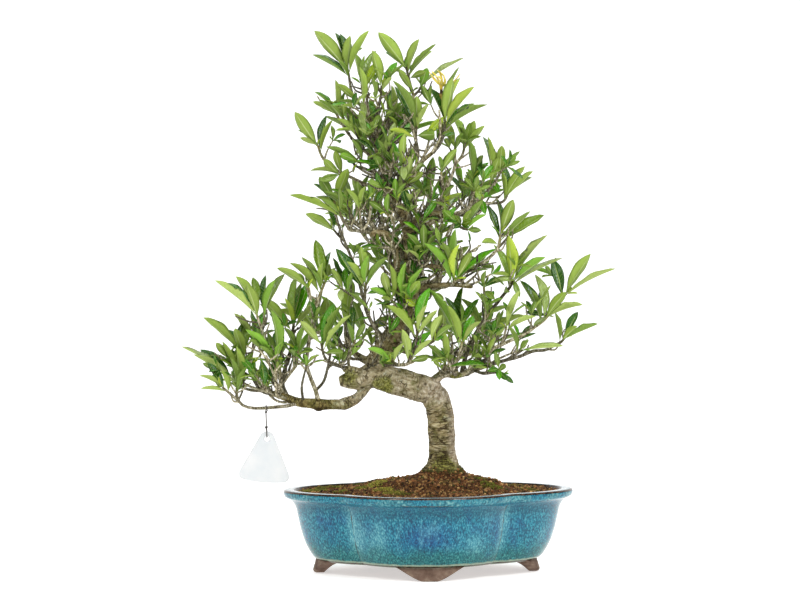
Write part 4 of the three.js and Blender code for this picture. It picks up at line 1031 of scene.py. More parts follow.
def fused_stems(stems):
    """One closed mesh of all the stems, with soft joints between them."""
    whole = Shape()
    for rows in stems:
        sides = 28 if rows[:, 3].max() > 8 else 14
        whole.add(*tube(rows, sides)[:3])
    raw = bpy.data.meshes.new("trunk_raw")
    raw.from_pydata(metres(np.vstack(whole.points)).tolist(), [], whole.faces)
    trunk = put("trunk_raw", raw)
    fuse = trunk.modifiers.new("fuse", "REMESH")
    fuse.mode = "VOXEL"
    fuse.voxel_size = BARK_VOXEL * MM
    soften = trunk.modifiers.new("soften", "SMOOTH")
    soften.factor = 0.5
    soften.iterations = 5
    graph = bpy.context.evaluated_depsgraph_get()
    mesh = bpy.data.meshes.new_from_object(trunk.evaluated_get(graph))
    bpy.data.objects.remove(trunk)
    return mesh


def bark_lift(place, thick):
    """How far the bark stands out at a place on its stem: rings, lumps and fine grain."""
    x, y, z = place
    rings = noise.noise(Vector((x * 0.11, y * 0.11, z * 0.42)))
    lumps = noise.noise(Vector(place) * 0.085)
    fine = noise.noise(Vector((x * 0.35, y * 0.35, z * 0.9)) + Vector((9, 3, 5)))
    return (0.5 * rings + 0.3 * fine) * min(1, thick / 11) + lumps * 0.09 * thick


def bark_marks(points):
    """How mossy, how scarred and how worn the bark is at each point, each from 0 to 1."""
    marks = np.zeros((len(points), 3))
    for column, spots_there in ((0, MOSSY), (1, SCARS)):
        for place, size in spots_there:
            away = np.linalg.norm(points - seen(place), axis=1)
            marks[:, column] = np.maximum(marks[:, column], np.exp(-(away / size) ** 2))
    bend_away = np.linalg.norm((points - TRUNK_BEND) / (1.4, 1, 1), axis=1)
    flank = np.clip((points[:, 0] - 17) / 7, 0, 1) * (points[:, 0] < 34)
    flank *= abs(points[:, 2] - 145) < 36
    marks[:, 2] = np.maximum(0.85 * np.exp(-(bend_away / 15) ** 4), 0.75 * flank)
    return marks


def make_trunk():
    stems = [seen_line(rows, STEM_STEP) for rows in TRUNK_LENGTHS + LIMBS]
    mesh = fused_stems(stems)
    flat = np.empty(len(mesh.vertices) * 3)
    mesh.vertices.foreach_get("co", flat)
    points = (flat.reshape(-1, 3) - POT_AXIS) / MM
    mesh.vertex_normals.foreach_get("vector", flat)
    normals = flat.reshape(-1, 3).copy()
    grown, radius = straightened(points, stems)
    lift = np.array([bark_lift(place, thick) for place, thick in zip(grown, radius)])
    points += normals * lift[:, None]
    mesh.vertices.foreach_set("co", metres(points).ravel())
    for name, values in (("grown", grown * MM), ("marks", bark_marks(points))):
        data = mesh.attributes.new(name, "FLOAT_VECTOR", "POINT").data
        data.foreach_set("vector", values.ravel())
    finish_piece("trunk_wood", mesh, [trunk_bark()], ["trunk"])


make_trunk()


# Leafy sprays. A leaf's row is x and z of its tip as seen from the front, the width that shows, the
# depth of its tip behind the end of its shoot, and its tone.
LEAF_RATIO = 0.29
LEAF_SPACING = 2.2
ROOT_SINK = 0.2
LEAF_THICK = 0.5
LEAF_STEPS = 13
LEAF_ACROSS = 7
TWIG_STEP = 2.2
TWIG_ROUND = 8

DARK, DEEP = colour("2c6202"), colour("184202")
BRIGHT, PLAIN = colour("539c06"), colour("437d04")
OLIVE, LIGHT = colour("6d8b1e"), colour("83a13c")
PALE, YOUNG = colour("9cb05f"), colour("aac22e")
UNDER_TONE = colour("a9bb5e")
TWIG_SHADES = [0.42, 0.62, 0.92, 1.2, 1.45]

sprays = []


def spray(name):
    sprays.append({"name": name, "twigs": [], "leaves": []})


def twig(thick, thin, rows):
    sprays[-1]["twigs"].append((np.array([seen(row) for row in rows]), thick, thin))


def shoot(thick, thin, rows, leaves):
    twig(thick, thin, rows)
    places = sprays[-1]["twigs"][-1][0]
    stem = unit(places[-1] - places[-2])
    depth = rows[-1][2]
    aims = [(seen((x, z, depth + behind)), width, tone) for x, z, width, behind, tone in leaves]
    aims.sort(key=lambda aim: unit(aim[0] - places[-1]).dot(stem))
    for i, (tip, width, tone) in enumerate(aims):
        root = root_of(places, len(aims) - 1 - i, tip, thin)
        sprays[-1]["leaves"].append(leaf_between(root, tip, width, tone))


def root_of(places, place, tip, radius):
    """Where a leaf leaves its shoot: the next place down from its end, on the tip's side."""
    root = before(places, 1.2 + place * LEAF_SPACING)
    stem = unit(places[-1] - places[-2])
    side = tip - root
    return root + ROOT_SINK * radius * unit(side - stem * side.dot(stem))


def before(places, way):
    """The place that far down a shoot from its end."""
    for i in range(len(places) - 1, 0, -1):
        length = np.linalg.norm(places[i] - places[i - 1])
        if way < length * 0.9 or i == 1:
            return places[i] + (places[i - 1] - places[i]) * min(way / length, 0.9)
        way -= length


# A leaf is its root, its tip, its width, the ways across and up from its upper side, and its tone
def leaf_between(root, tip, width, tone):
    """The leaf that shows the given width from the front, with its upper side up."""
    length = np.linalg.norm(tip - root)
    along = (tip - root) / length
    full = max(width, LEAF_RATIO * length)
    flat = unit(np.cross(along, unit(root - EYE)))
    edge = np.cross(along, flat)
    choices = []
    for roll in (math.acos(width / full), -math.acos(width / full)):
        across = flat * math.cos(roll) + edge * math.sin(roll)
        up = np.cross(along, across)
        choices.append((-across, -up) if up[2] < 0 else (across, up))
    across, up = max(choices, key=lambda choice: choice[1][2])
    return root, tip, full, across, up, tone


# Low left

spray("spray_left_tip")
shoot(2.6, 1.3, [
    [-152, 178, -16], [-165, 181, -13], [-172, 190, -11], [-178, 204, -8], [-182, 213, -6],
    [-187, 222, -5],
], [
    [-224, 255, 9, -10, LIGHT], [-186, 258, 9, 14, OLIVE], [-192, 244, 10, -24, LIGHT],
    [-201, 243, 6, 18, DARK], [-182, 253, 6, 10, DARK],
])
shoot(1.6, 1.2, [[-165, 181, -13], [-177, 182, -11], [-189, 186, -9], [-195, 191, -8]], [
    [-246, 226, 3, -6, PALE], [-234, 218, 4, -14, PALE], [-227, 223, 12, 12, DARK],
    [-205, 231, 6, -18, OLIVE], [-202, 226, 6, 16, BRIGHT],
])
shoot(1.5, 1.2, [[-178, 204, -8], [-175, 220, 2], [-173, 237, 6]], [
    [-193, 259, 7, -12, PALE], [-160, 262, 7, 12, PLAIN], [-176, 262, 5, 14, PLAIN],
])

spray("spray_left_low")
shoot(1.9, 1.2, [
    [-128, 169, -18], [-140, 166, -24], [-150, 165, -28], [-162, 164, -30], [-175, 164, -31],
    [-185, 167, -32], [-190, 174, -33], [-191, 184, -34],
], [[-191, 226, 8, -8, LIGHT], [-197, 215, 5, -14, DARK], [-180, 206, 5, -18, DARK]])
shoot(1.4, 1.1, [[-185, 167, -32], [-194, 175, -36], [-205, 185, -40]], [
    [-227, 184, 3, -10, PALE], [-228, 197, 4, -12, PALE], [-220, 210, 8, 14, DARK],
    [-206, 202, 5, -16, OLIVE],
])

spray("spray_left_front")
shoot(2.2, 1.1, [
    [-148, 177, -17], [-147, 189, -24], [-148, 202, -30], [-153, 214, -33], [-161, 226, -36],
    [-165, 221, -41], [-168, 215, -44],
], [[-163, 187, 7, -8, DARK]])
shoot(1.7, 1.2, [[-161, 226, -36], [-165, 241, -38], [-169, 253, -40], [-172, 264, -40]], [
    [-212, 292, 3, -8, PALE], [-204, 290, 5, 10, DARK], [-191, 296, 9, -14, LIGHT],
    [-174, 295, 9, 16, OLIVE], [-180, 288, 10, -24, LIGHT],
])
shoot(1.4, 1.1, [[-165, 241, -38], [-163, 252, -33], [-163, 262, -30]], [
    [-161, 297, 7, 12, DARK], [-152, 292, 7, -12, BRIGHT], [-142, 298, 8, 10, OLIVE],
    [-150, 284, 6, 18, DEEP],
])
shoot(1.4, 1.2, [[-148, 202, -30], [-150, 208, -38], [-151, 213, -42]], [
    [-182, 243, 8, -14, BRIGHT], [-156, 262, 10, -12, BRIGHT], [-146, 230, 5, -18, BRIGHT],
    [-168, 226, 5, -12, DARK],
])

spray("spray_left_back")
shoot(2.2, 1.2, [
    [-139, 173, -18], [-145, 188, -8], [-142, 205, 0], [-137, 221, 6], [-135, 236, 9],
    [-134, 244, 10], [-133, 252, 11],
], [
    [-165, 275, 11, -10, LIGHT], [-142, 274, 4, -14, YOUNG], [-130, 296, 7, 8, LIGHT],
    [-125, 290, 6, 14, LIGHT], [-118, 290, 11, 12, BRIGHT], [-105, 273, 6, -14, PALE],
])
shoot(1.5, 1.1, [[-145, 188, -8], [-139, 196, -7], [-131, 206, -6]], [
    [-117, 240, 7, -2, BRIGHT], [-137, 236, 6, 14, PLAIN], [-123, 226, 5, 18, PLAIN],
])
shoot(1.3, 1.1, [[-145, 188, -8], [-151, 198, 6], [-155, 210, 16]], [
    [-172, 242, 8, 10, PLAIN], [-146, 246, 7, 14, PLAIN], [-160, 240, 7, -8, DARK],
])

spray("spray_left_knob")
shoot(2.4, 1.3, [
    [-109, 168, -17], [-112, 181, -17], [-117, 194, -16], [-121, 208, -15], [-119, 223, -15],
    [-117, 238, -16], [-114, 255, -17], [-109, 272, -18], [-102, 289, -20],
], [
    [-137, 309, 6, -12, OLIVE], [-125, 315, 7, -14, DARK], [-111, 332, 12, 14, OLIVE],
    [-96, 320, 6, 12, DARK], [-104, 309, 6, -18, LIGHT], [-115, 302, 5, -16, DARK],
])
shoot(1.4, 1.2, [[-114, 255, -17], [-116, 270, -22], [-118, 284, -25]], [
    [-150, 304, 8, -12, LIGHT],
])
shoot(1.4, 1.1, [[-121, 208, -15], [-127, 214, -21], [-130, 222, -25]], [
    [-143, 244, 6, -12, DARK], [-122, 248, 6, -16, DARK], [-114, 222, 5, -14, DARK],
])
shoot(1.5, 1.2, [[-112, 181, -17], [-104, 190, -12], [-100, 203, -8], [-96, 222, -5]], [
    [-104, 245, 7, 10, PLAIN], [-84, 246, 7, 14, PLAIN], [-96, 240, 6, -12, DARK],
])

spray("spray_left_stub")
shoot(1.9, 1.2, [
    [-80, 201, -15], [-87, 205, -22], [-96, 208, -28], [-103, 215, -33], [-106, 228, -36],
], [
    [-84, 219, 6, -12, DARK], [-127, 251, 8, -12, PALE], [-93, 268, 12, 10, BRIGHT],
    [-86, 266, 6, -14, DARK], [-76, 257, 3, -18, PALE],
])
shoot(1.4, 1.1, [[-87, 205, -22], [-88, 210, -27]], [
    [-100, 231, 5, -14, DARK], [-89, 225, 5, -18, DARK], [-74, 224, 7, -10, DARK],
])
shoot(1.5, 1.2, [[-87, 205, -22], [-79, 216, -25], [-72, 231, -28]], [
    [-73, 260, 8, 12, DARK], [-80, 249, 6, -14, DARK], [-62, 248, 6, -10, DARK],
])

spray("spray_front_low")
shoot(2.4, 1.2, [[-42, 206, -8], [-38, 207, -22], [-30, 206, -32], [-36, 210, -38]], [
    [-60, 223, 6, -10, BRIGHT], [-23, 228, 4, -16, PALE],
])
shoot(1.9, 1.3, [[-30, 206, -32], [-20, 207, -38], [-15, 214, -41]], [
    [1, 214, 7, -12, DARK], [-25, 242, 9, -10, PALE], [5, 239, 8, 8, BRIGHT],
    [5, 231, 5, -16, PALE],
])
shoot(1.6, 1.2, [[-20, 207, -38], [-13, 222, -44], [-9, 241, -48]], [
    [-41, 266, 8, -12, OLIVE], [3, 283, 11, 8, BRIGHT], [10, 261, 6, -12, PALE],
    [0, 266, 5, -18, PALE],
])
shoot(1.4, 1.1, [[-13, 222, -44], [-2, 225, -49], [7, 230, -52]], [
    [26, 246, 6, -8, DARK], [15, 256, 8, -12, PALE],
])

# Low right

spray("spray_right_lump")
shoot(2.2, 1.2, [[29, 195, -9], [25, 200, -20], [20, 203, -26], [17, 207, -31]], [
    [58, 206, 4, -10, BRIGHT], [15, 241, 7, -12, LIGHT], [0, 226, 5, -8, DARK],
])
shoot(1.7, 1.2, [[25, 200, -20], [31, 214, -26], [35, 229, -30]], [
    [2, 282, 9, -8, BRIGHT], [20, 266, 7, -14, LIGHT], [46, 255, 10, 10, BRIGHT],
    [54, 249, 5, -12, PALE],
])

spray("spray_right_rise")
shoot(2.5, 1.3, [
    [34, 196, -10], [39, 217, -3], [48, 236, -1], [60, 255, -2], [69, 266, -4], [77, 276, -6],
    [83, 283, -7], [87, 291, -8],
], [
    [77, 278, 7, -18, OLIVE], [136, 312, 3, 6, PALE], [119, 313, 8, -14, BRIGHT],
    [67, 326, 7, 10, LIGHT], [82, 335, 12, -18, YOUNG], [121, 335, 2, 8, PALE],
])
shoot(1.5, 1.2, [[60, 255, -2], [58, 268, -12], [57, 283, -18]], [
    [68, 271, 7, -16, LIGHT], [59, 300, 5, -16, DARK],
])
shoot(1.4, 1.1, [[48, 236, -1], [56, 246, -10], [62, 257, -15]], [
    [80, 264, 5, -12, DARK], [54, 278, 6, -14, DARK],
])
shoot(1.4, 1.1, [[39, 217, -3], [36, 232, 10], [34, 246, 18]], [
    [18, 274, 7, 8, PLAIN], [36, 284, 7, 14, PLAIN], [52, 272, 7, 10, PLAIN],
])

spray("spray_right_second")
shoot(2.2, 1.2, [
    [40, 198, -11], [48, 210, -15], [60, 219, -16], [73, 225, -14], [86, 231, -11], [98, 236, -7],
    [109, 244, -3], [116, 249, -1], [121, 254, 1],
], [
    [156, 265, 5, -12, PALE], [93, 290, 6, 8, DARK], [108, 296, 9, 12, PALE],
    [105, 280, 7, -18, DARK], [139, 278, 10, -22, OLIVE],
])
shoot(1.6, 1.2, [[109, 244, -3], [124, 259, 6], [139, 276, 12]], [
    [127, 262, 5, 14, PLAIN], [189, 301, 4, -6, PALE], [164, 316, 11, -10, LIGHT],
    [126, 311, 12, 12, DARK],
])
shoot(1.4, 1.1, [[73, 225, -14], [77, 234, -20], [79, 243, -24]], [
    [109, 254, 4, -14, PALE], [93, 280, 7, -12, PALE],
])

spray("spray_right_low")
shoot(1.9, 1.2, [
    [60, 205, -13], [78, 210, -16], [93, 214, -18], [106, 219, -18], [118, 220, -17],
    [128, 225, -15], [134, 228, -13], [138, 233, -12],
], [
    [171, 246, 4, -8, DARK], [150, 244, 6, -16, OLIVE], [151, 258, 8, 8, DARK],
    [128, 258, 5, -10, DARK],
])
shoot(1.4, 1.1, [[78, 210, -16], [87, 215, -24], [95, 220, -28]], [
    [136, 224, 3, -8, PALE], [101, 230, 5, -16, DARK], [81, 245, 5, -8, DARK],
])

spray("spray_right_dry")
shoot(1.7, 1, [[47, 200, -12], [56, 197, -22], [67, 198, -28], [72, 198, -30], [76, 197, -31]], [
    [65, 205, 4, -6, DARK], [86, 187, 5, -4, DARK], [80, 190, 6, -8, DARK], [78, 206, 6, -8, DARK],
])

# Middle, around the trunk

spray("spray_mid_right")
shoot(2, 1.3, [[25, 286, -17], [26, 287, -28], [30, 292, -35]], [
    [70, 322, 6, 8, BRIGHT], [45, 318, 9, -14, LIGHT], [-3, 328, 7, -10, BRIGHT],
    [15, 329, 5, -16, DARK], [33, 327, 6, -18, YOUNG], [29, 342, 9, 6, BRIGHT],
])

spray("spray_mid_right_end")
shoot(1.9, 1.3, [
    [40, 299, -18], [53, 306, -17], [63, 313, -16], [71, 322, -15], [73, 329, -15], [74, 336, -15],
], [
    [55, 328, 6, -18, LIGHT], [104, 359, 6, -10, DARK], [61, 366, 7, 10, DARK],
    [69, 374, 5, 24, DARK], [87, 371, 12, -12, LIGHT],
])
shoot(1.4, 1.1, [[71, 322, -15], [77, 328, -10], [82, 334, -6]], [
    [118, 355, 9, 8, OLIVE], [97, 352, 6, 14, PLAIN],
])

spray("spray_core_right")
shoot(1.8, 1.3, [[0, 305, -8], [-2, 311, -18], [-3, 319, -23]], [
    [-20, 338, 6, -10, DARK], [12, 338, 6, -12, DARK], [-3, 347, 9, -8, DARK],
])

spray("spray_core_front")
shoot(2, 1.2, [[-19, 264, -4], [-24, 263, -19], [-22, 272, -26]], [
    [-7, 290, 10, -18, LIGHT], [-4, 303, 6, -8, BRIGHT], [-21, 309, 8, -10, BRIGHT],
])
shoot(1.5, 1.2, [[-24, 263, -19], [-33, 268, -24], [-38, 275, -26]], [
    [-57, 283, 6, -12, BRIGHT], [-44, 299, 9, -12, PALE], [-37, 307, 5, -6, OLIVE],
])

spray("spray_mid_left")
shoot(2.4, 1.3, [
    [-38, 226, -4], [-50, 240, -12], [-58, 254, -16], [-62, 266, -18], [-62, 278, -21],
    [-61, 289, -24],
], [
    [-39, 281, 6, 10, BRIGHT], [-80, 310, 7, -14, LIGHT], [-39, 314, 7, -10, DARK],
    [-91, 323, 12, 8, DARK], [-58, 316, 7, -18, BRIGHT], [-66, 325, 10, -8, LIGHT],
])
shoot(1.5, 1.2, [[-62, 266, -18], [-74, 275, -16], [-86, 283, -14]], [
    [-75, 299, 6, -16, BRIGHT], [-96, 303, 7, -12, LIGHT], [-82, 303, 7, 12, BRIGHT],
    [-94, 314, 5, 6, DARK],
])
shoot(1.3, 1.1, [[-58, 254, -16], [-58, 262, -26]], [[-78, 279, 4, -10, DARK]])
shoot(1.7, 1.2, [
    [-62, 266, -18], [-68, 290, -8], [-74, 310, -4], [-82, 330, -2], [-88, 347, -2], [-91, 360, -3],
    [-92, 372, -4],
], [[-113, 388, 5, 12, DARK], [-78, 403, 11, -20, OLIVE], [-107, 395, 10, -12, DARK]])
shoot(1.3, 1.1, [[-82, 330, -2], [-88, 336, 3], [-93, 342, 6]], [
    [-121, 358, 9, -10, LIGHT], [-100, 365, 5, 10, PLAIN],
])

spray("spray_left_knot")
shoot(2, 1.2, [
    [-54, 338, -15], [-65, 340, -20], [-75, 342, -22], [-83, 350, -24], [-87, 360, -25],
], [[-137, 377, 5, -8, OLIVE], [-105, 373, 6, -14, DARK], [-87, 384, 5, -12, DARK]])
shoot(1.4, 1.1, [[-75, 342, -22], [-76, 352, -18], [-77, 363, -16]], [[-103, 380, 7, -6, DARK]])
shoot(1.5, 1.2, [[-65, 340, -20], [-66, 352, -25], [-67, 366, -29]], [
    [-80, 383, 6, -14, LIGHT], [-61, 385, 6, -16, LIGHT], [-69, 390, 8, -8, DARK],
])
shoot(1.5, 1.2, [[-65, 340, -20], [-58, 350, -16], [-54, 374, -14]], [
    [-55, 393, 7, -12, BRIGHT], [-42, 392, 6, -8, DARK],
])

spray("spray_core_upper")
shoot(1.9, 1.2, [[-22, 352, -2], [-32, 353, -15], [-41, 358, -21]], [
    [-57, 370, 7, -10, DARK], [-38, 378, 6, -14, BRIGHT],
])
shoot(1.4, 1.2, [[-32, 353, -15], [-30, 362, -20], [-29, 371, -23]], [
    [-20, 388, 5, -12, DARK], [-31, 393, 7, -8, BRIGHT],
])

# Upper right

spray("spray_right_hang")
shoot(1.8, 1.2, [[26, 356, -12], [29, 349, -18], [35, 343, -22], [41, 341, -26]], [
    [60, 356, 4, -10, BRIGHT], [16, 361, 9, -8, BRIGHT], [45, 361, 6, -14, OLIVE],
    [57, 371, 8, -12, DARK],
])
twig(1.4, 1.1, [[29, 349, -18], [22, 339, -19], [16, 326, -20], [15, 314, -22], [17, 300, -23]])

spray("spray_right_end")
shoot(2.2, 1.2, [
    [30, 356, -12], [43, 363, -12], [51, 368, -11], [58, 375, -10], [63, 382, -9], [65, 391, -8],
], [[73, 413, 10, -16, LIGHT], [57, 434, 8, 8, DARK], [62, 434, 6, -12, OLIVE]])
shoot(1.5, 1.2, [[58, 375, -10], [69, 389, -15], [76, 401, -18]], [
    [94, 419, 5, 8, LIGHT], [90, 415, 7, -14, BRIGHT], [76, 425, 9, -10, OLIVE],
])
shoot(1.5, 1.2, [[51, 368, -11], [65, 367, -3], [77, 369, 3], [83, 380, 6]], [
    [106, 393, 4, 12, DARK], [107, 399, 5, -8, LIGHT], [94, 396, 7, 16, DARK],
    [99, 404, 8, -12, OLIVE], [79, 405, 6, 10, DARK], [75, 401, 5, -12, LIGHT],
])
shoot(1.4, 1.2, [[51, 368, -11], [54, 370, -19], [57, 373, -24]], [
    [59, 356, 7, -12, BRIGHT], [50, 386, 6, -12, LIGHT],
])
shoot(1.5, 1.2, [[43, 363, -12], [46, 372, -3], [47, 382, 2], [47, 393, 4]], [
    [40, 399, 5, -16, DARK], [63, 408, 6, 12, BRIGHT], [55, 415, 8, 8, DARK],
    [43, 431, 8, -8, DARK],
])

spray("spray_right_top")
shoot(2, 1.2, [
    [9, 357, -9], [12, 366, -4], [18, 379, 0], [25, 393, 2], [29, 406, 3], [29, 414, 3],
    [29, 423, 3],
], [[37, 438, 6, -14, DARK], [20, 450, 9, -8, OLIVE]])
shoot(1.5, 1.2, [[29, 406, 3], [36, 415, 8], [39, 425, 11]], [
    [36, 444, 5, -14, DARK], [59, 445, 7, -12, LIGHT], [26, 455, 7, 12, LIGHT],
    [49, 450, 9, -8, LIGHT],
])
shoot(1.3, 1.1, [[18, 379, 0], [16, 389, -7], [15, 399, -10]], [
    [13, 415, 5, -10, DARK], [25, 418, 6, 8, PLAIN],
])
shoot(1.3, 1.1, [[12, 366, -4], [18, 369, -12]], [
    [36, 377, 5, -10, LIGHT], [28, 385, 5, -14, DARK],
])

spray("spray_bloom_stem")
shoot(1.9, 1.3, [[7, 418, -14], [14, 427, -13], [18, 437, -12], [19, 446, -11], [19, 455, -10]], [
    [62, 466, 2, -8, DARK], [49, 467, 3, 10, PLAIN], [49, 484, 8, -14, YOUNG],
    [4, 483, 7, 12, DARK], [35, 493, 4, 12, YOUNG], [34, 504, 3, -6, DARK],
    [27, 493, 11, -16, LIGHT],
])

spray("spray_top_middle")
shoot(2, 1.3, [[-9, 405, -11], [-9, 418, -11], [-10, 431, -11], [-10, 438, -14], [-9, 445, -16]], [
    [9, 436, 12, -12, DARK], [-36, 441, 8, -12, YOUNG], [3, 467, 5, -16, PALE],
    [-31, 485, 8, 8, DARK], [-33, 491, 6, -12, DARK], [-9, 475, 11, -8, LIGHT],
])
shoot(1.8, 1.1, [[-10, 431, -11], [-14, 447, -4], [-13, 462, -1], [-12, 475, 0], [-13, 479, -5]], [
    [-27, 502, 7, -8, LIGHT],
])
shoot(1.5, 1.2, [[-12, 475, 0], [-16, 490, 1], [-19, 504, 2]], [
    [0, 499, 7, -16, OLIVE], [7, 520, 6, 12, LIGHT], [11, 527, 2, -8, DARK],
    [-6, 532, 8, -12, LIGHT], [-40, 519, 5, 12, DARK], [-47, 539, 13, -8, LIGHT],
])
shoot(1.4, 1.1, [[-12, 475, 0], [-7, 480, 4], [-4, 485, 6]], [
    [39, 513, 3, 8, PALE], [2, 503, 9, -10, BRIGHT],
])

# Upper left

spray("spray_left_upper")
shoot(1.9, 1.2, [
    [-33, 373, -1], [-46, 380, 1], [-57, 385, 3], [-69, 391, 5], [-79, 396, 7], [-89, 401, 9],
    [-99, 408, 10], [-105, 417, 11], [-108, 426, 12],
], [
    [-128, 442, 3, 8, DARK], [-93, 452, 5, -12, OLIVE], [-99, 456, 7, 12, DARK],
    [-131, 460, 12, -10, LIGHT],
])
shoot(1.3, 1.1, [[-79, 396, 7], [-84, 396, -2], [-87, 397, -7]], [
    [-116, 401, 3, -8, PALE], [-102, 412, 8, -14, LIGHT], [-91, 421, 8, -10, OLIVE],
])

spray("spray_left_high")
shoot(1.8, 1.2, [
    [-42, 404, -2], [-53, 413, 4], [-62, 421, 8], [-70, 429, 10], [-77, 437, 11], [-84, 448, 11],
    [-88, 455, 11], [-91, 462, 11],
], [
    [-107, 472, 5, -14, DARK], [-113, 470, 6, -8, LIGHT], [-111, 480, 3, 10, PLAIN],
    [-90, 492, 6, -10, LIGHT],
])
shoot(1.3, 1.1, [[-77, 437, 11], [-81, 446, 4], [-82, 454, 1]], [
    [-95, 467, 5, -10, DARK], [-82, 471, 6, -12, OLIVE],
])
shoot(1.4, 1.1, [[-53, 413, 4], [-61, 409, -5], [-68, 409, -10]], [
    [-100, 425, 5, -6, DARK], [-86, 417, 8, -14, BRIGHT], [-74, 432, 6, -10, DARK],
])
shoot(1.4, 1.1, [[-62, 421, 8], [-63, 426, 0], [-63, 432, -4]], [
    [-89, 453, 6, -8, LIGHT], [-53, 450, 8, -12, LIGHT], [-66, 455, 6, -8, DARK],
])

spray("spray_inner_top")
shoot(1.7, 1.3, [[-40, 397, -2], [-42, 404, -14], [-42, 412, -20]], [
    [-58, 406, 6, -10, DARK], [-31, 440, 5, -8, PALE], [-48, 432, 5, -14, DARK],
])

spray("spray_inner_right")
shoot(1.8, 1.2, [[-19, 387, -7], [-21, 384, -20], [-19, 389, -25]], [
    [-3, 399, 7, -8, OLIVE], [-16, 415, 8, -12, PALE],
])
shoot(1.5, 1.2, [[-21, 384, -20], [-24, 397, -24], [-23, 408, -26]], [
    [-31, 420, 5, -14, DARK], [-21, 438, 8, -8, LIGHT],
])

spray("spray_high_right")
shoot(1.7, 1.2, [[-50, 431, 0], [-43, 438, 5], [-36, 446, 9], [-32, 450, 11], [-31, 455, 12]], [
    [-23, 466, 5, -12, DARK], [-36, 482, 8, 12, DARK], [-34, 486, 6, -8, PALE],
])

spray("spray_apex_left")
shoot(2, 1.2, [[-57, 451, 0], [-60, 461, -1], [-62, 474, -2], [-64, 487, -3]], [
    [-45, 511, 9, 16, YOUNG], [-49, 521, 6, 8, LIGHT], [-70, 518, 7, -12, DARK],
    [-61, 516, 5, -16, DARK],
])
shoot(1.4, 1.1, [[-60, 461, -1], [-66, 468, -9]], [
    [-89, 488, 7, -8, OLIVE], [-87, 471, 4, -10, DARK], [-66, 505, 7, -8, LIGHT],
])
shoot(1.6, 1.2, [
    [-60, 461, -1], [-69, 470, 4], [-74, 480, 6], [-76, 492, 7], [-77, 498, 8], [-79, 505, 8],
], [
    [-113, 517, 3, 10, DARK], [-56, 541, 6, -10, LIGHT], [-87, 511, 5, -18, DARK],
    [-75, 536, 9, -14, LIGHT], [-90, 539, 6, 8, DARK], [-111, 541, 13, -10, LIGHT],
])

spray("spray_apex_right")
shoot(1.9, 1.2, [[-53, 441, 0], [-48, 452, -5], [-47, 464, -7], [-45, 474, -8], [-44, 485, -9]], [
    [-34, 494, 5, -14, PALE], [-28, 509, 8, 8, BRIGHT], [-53, 521, 10, -10, LIGHT],
])
shoot(1.3, 1.1, [[-47, 464, -7], [-50, 472, -14]], [[-54, 495, 5, -8, DARK]])


# Sprays on the back limbs, the last ones listed: a fan of shoots from the limb's end, each with a
# whorl of leaves. A row is the name, heading and spread in degrees, shoots, reach and rise.
BACK_SPRAYS = [
    ("low_left", 115, 120, 4, 34, 16), ("low_right", 65, 120, 4, 34, 18),
    ("middle", 90, 130, 4, 34, 14), ("left", 120, 130, 4, 28, 14), ("right", 60, 130, 4, 28, 14),
    ("top", 90, 140, 3, 20, 16),
]
BACK_SINK = 2.5
BACK_THICK, BACK_THIN = 1.9, 1.2
BACK_TONES = [DARK, PLAIN, OLIVE, BRIGHT, LIGHT]
BACK_SEED = 1
state = BACK_SEED


def draw():
    """The next number, from 0 to 1, of one fixed series."""
    global state
    state = (state * 1664525 + 1013904223) % 2 ** 32
    return state / 2 ** 32


def back_spray(limb, name, heading, spread, count, reach, rise):
    spray("spray_back_" + name)
    before_end, origin = (seen(row) for row in limb[-2:])
    inside = origin + BACK_SINK * unit(before_end - origin)
    for i in range(count):
        turn = math.radians(heading + spread * (i / (count - 1) - 0.5))
        out = reach * (0.85 + 0.3 * draw())
        up = rise * (0.75 + 0.5 * draw()) * (1.25 if i % 2 else 0.8)
        level = np.array([math.cos(turn), math.sin(turn), 0])
        lift = np.array([0, 0, up])
        places = np.array([inside, origin + level * out * 0.6 + lift * 0.35,
                           origin + level * out + lift])
        sprays[-1]["twigs"].append((places, BACK_THICK, BACK_THIN))
        whorl(places, 4 + i % 2, level)


def whorl(places, count, level):
    axis = unit(np.array([level[0] * 0.45, level[1] * 0.45, 1]))
    side = np.array([-level[1], level[0], 0])
    front = np.cross(side, axis)
    phase = 2 * math.pi * draw()
    for k in range(count):
        turn = phase + 2 * math.pi * k / count
        lean = math.radians(38 + 20 * draw())
        length = 36 + 10 * draw()
        draw()  # one number of the series is passed over
        out = side * math.cos(turn) + front * math.sin(turn)
        along = axis * math.cos(lean) + out * math.sin(lean)
        tip = places[-1] + along * length
        across = unit(np.cross(axis, along))
        tone = random.choice(BACK_TONES)
        root = root_of(places, count - 1 - k, tip, BACK_THIN)
        leaf = root, tip, length * LEAF_RATIO, across, np.cross(along, across), tone
        sprays[-1]["leaves"].append(leaf)


for limb, row in zip(LIMBS[-len(BACK_SPRAYS):], BACK_SPRAYS):
    back_spray(limb, *row)


def leaf_outline(share):
    """Half width of a leaf, 1 at its widest: a short stalk, a long oval and a drawn-out tip."""
    blade = np.clip((share - 0.07) / 0.93, 0, 1)
    oval = blade ** 1.05 * (1 - blade) ** 0.85
    return np.maximum(oval / 0.271, 0.07 * (share < 0.5))


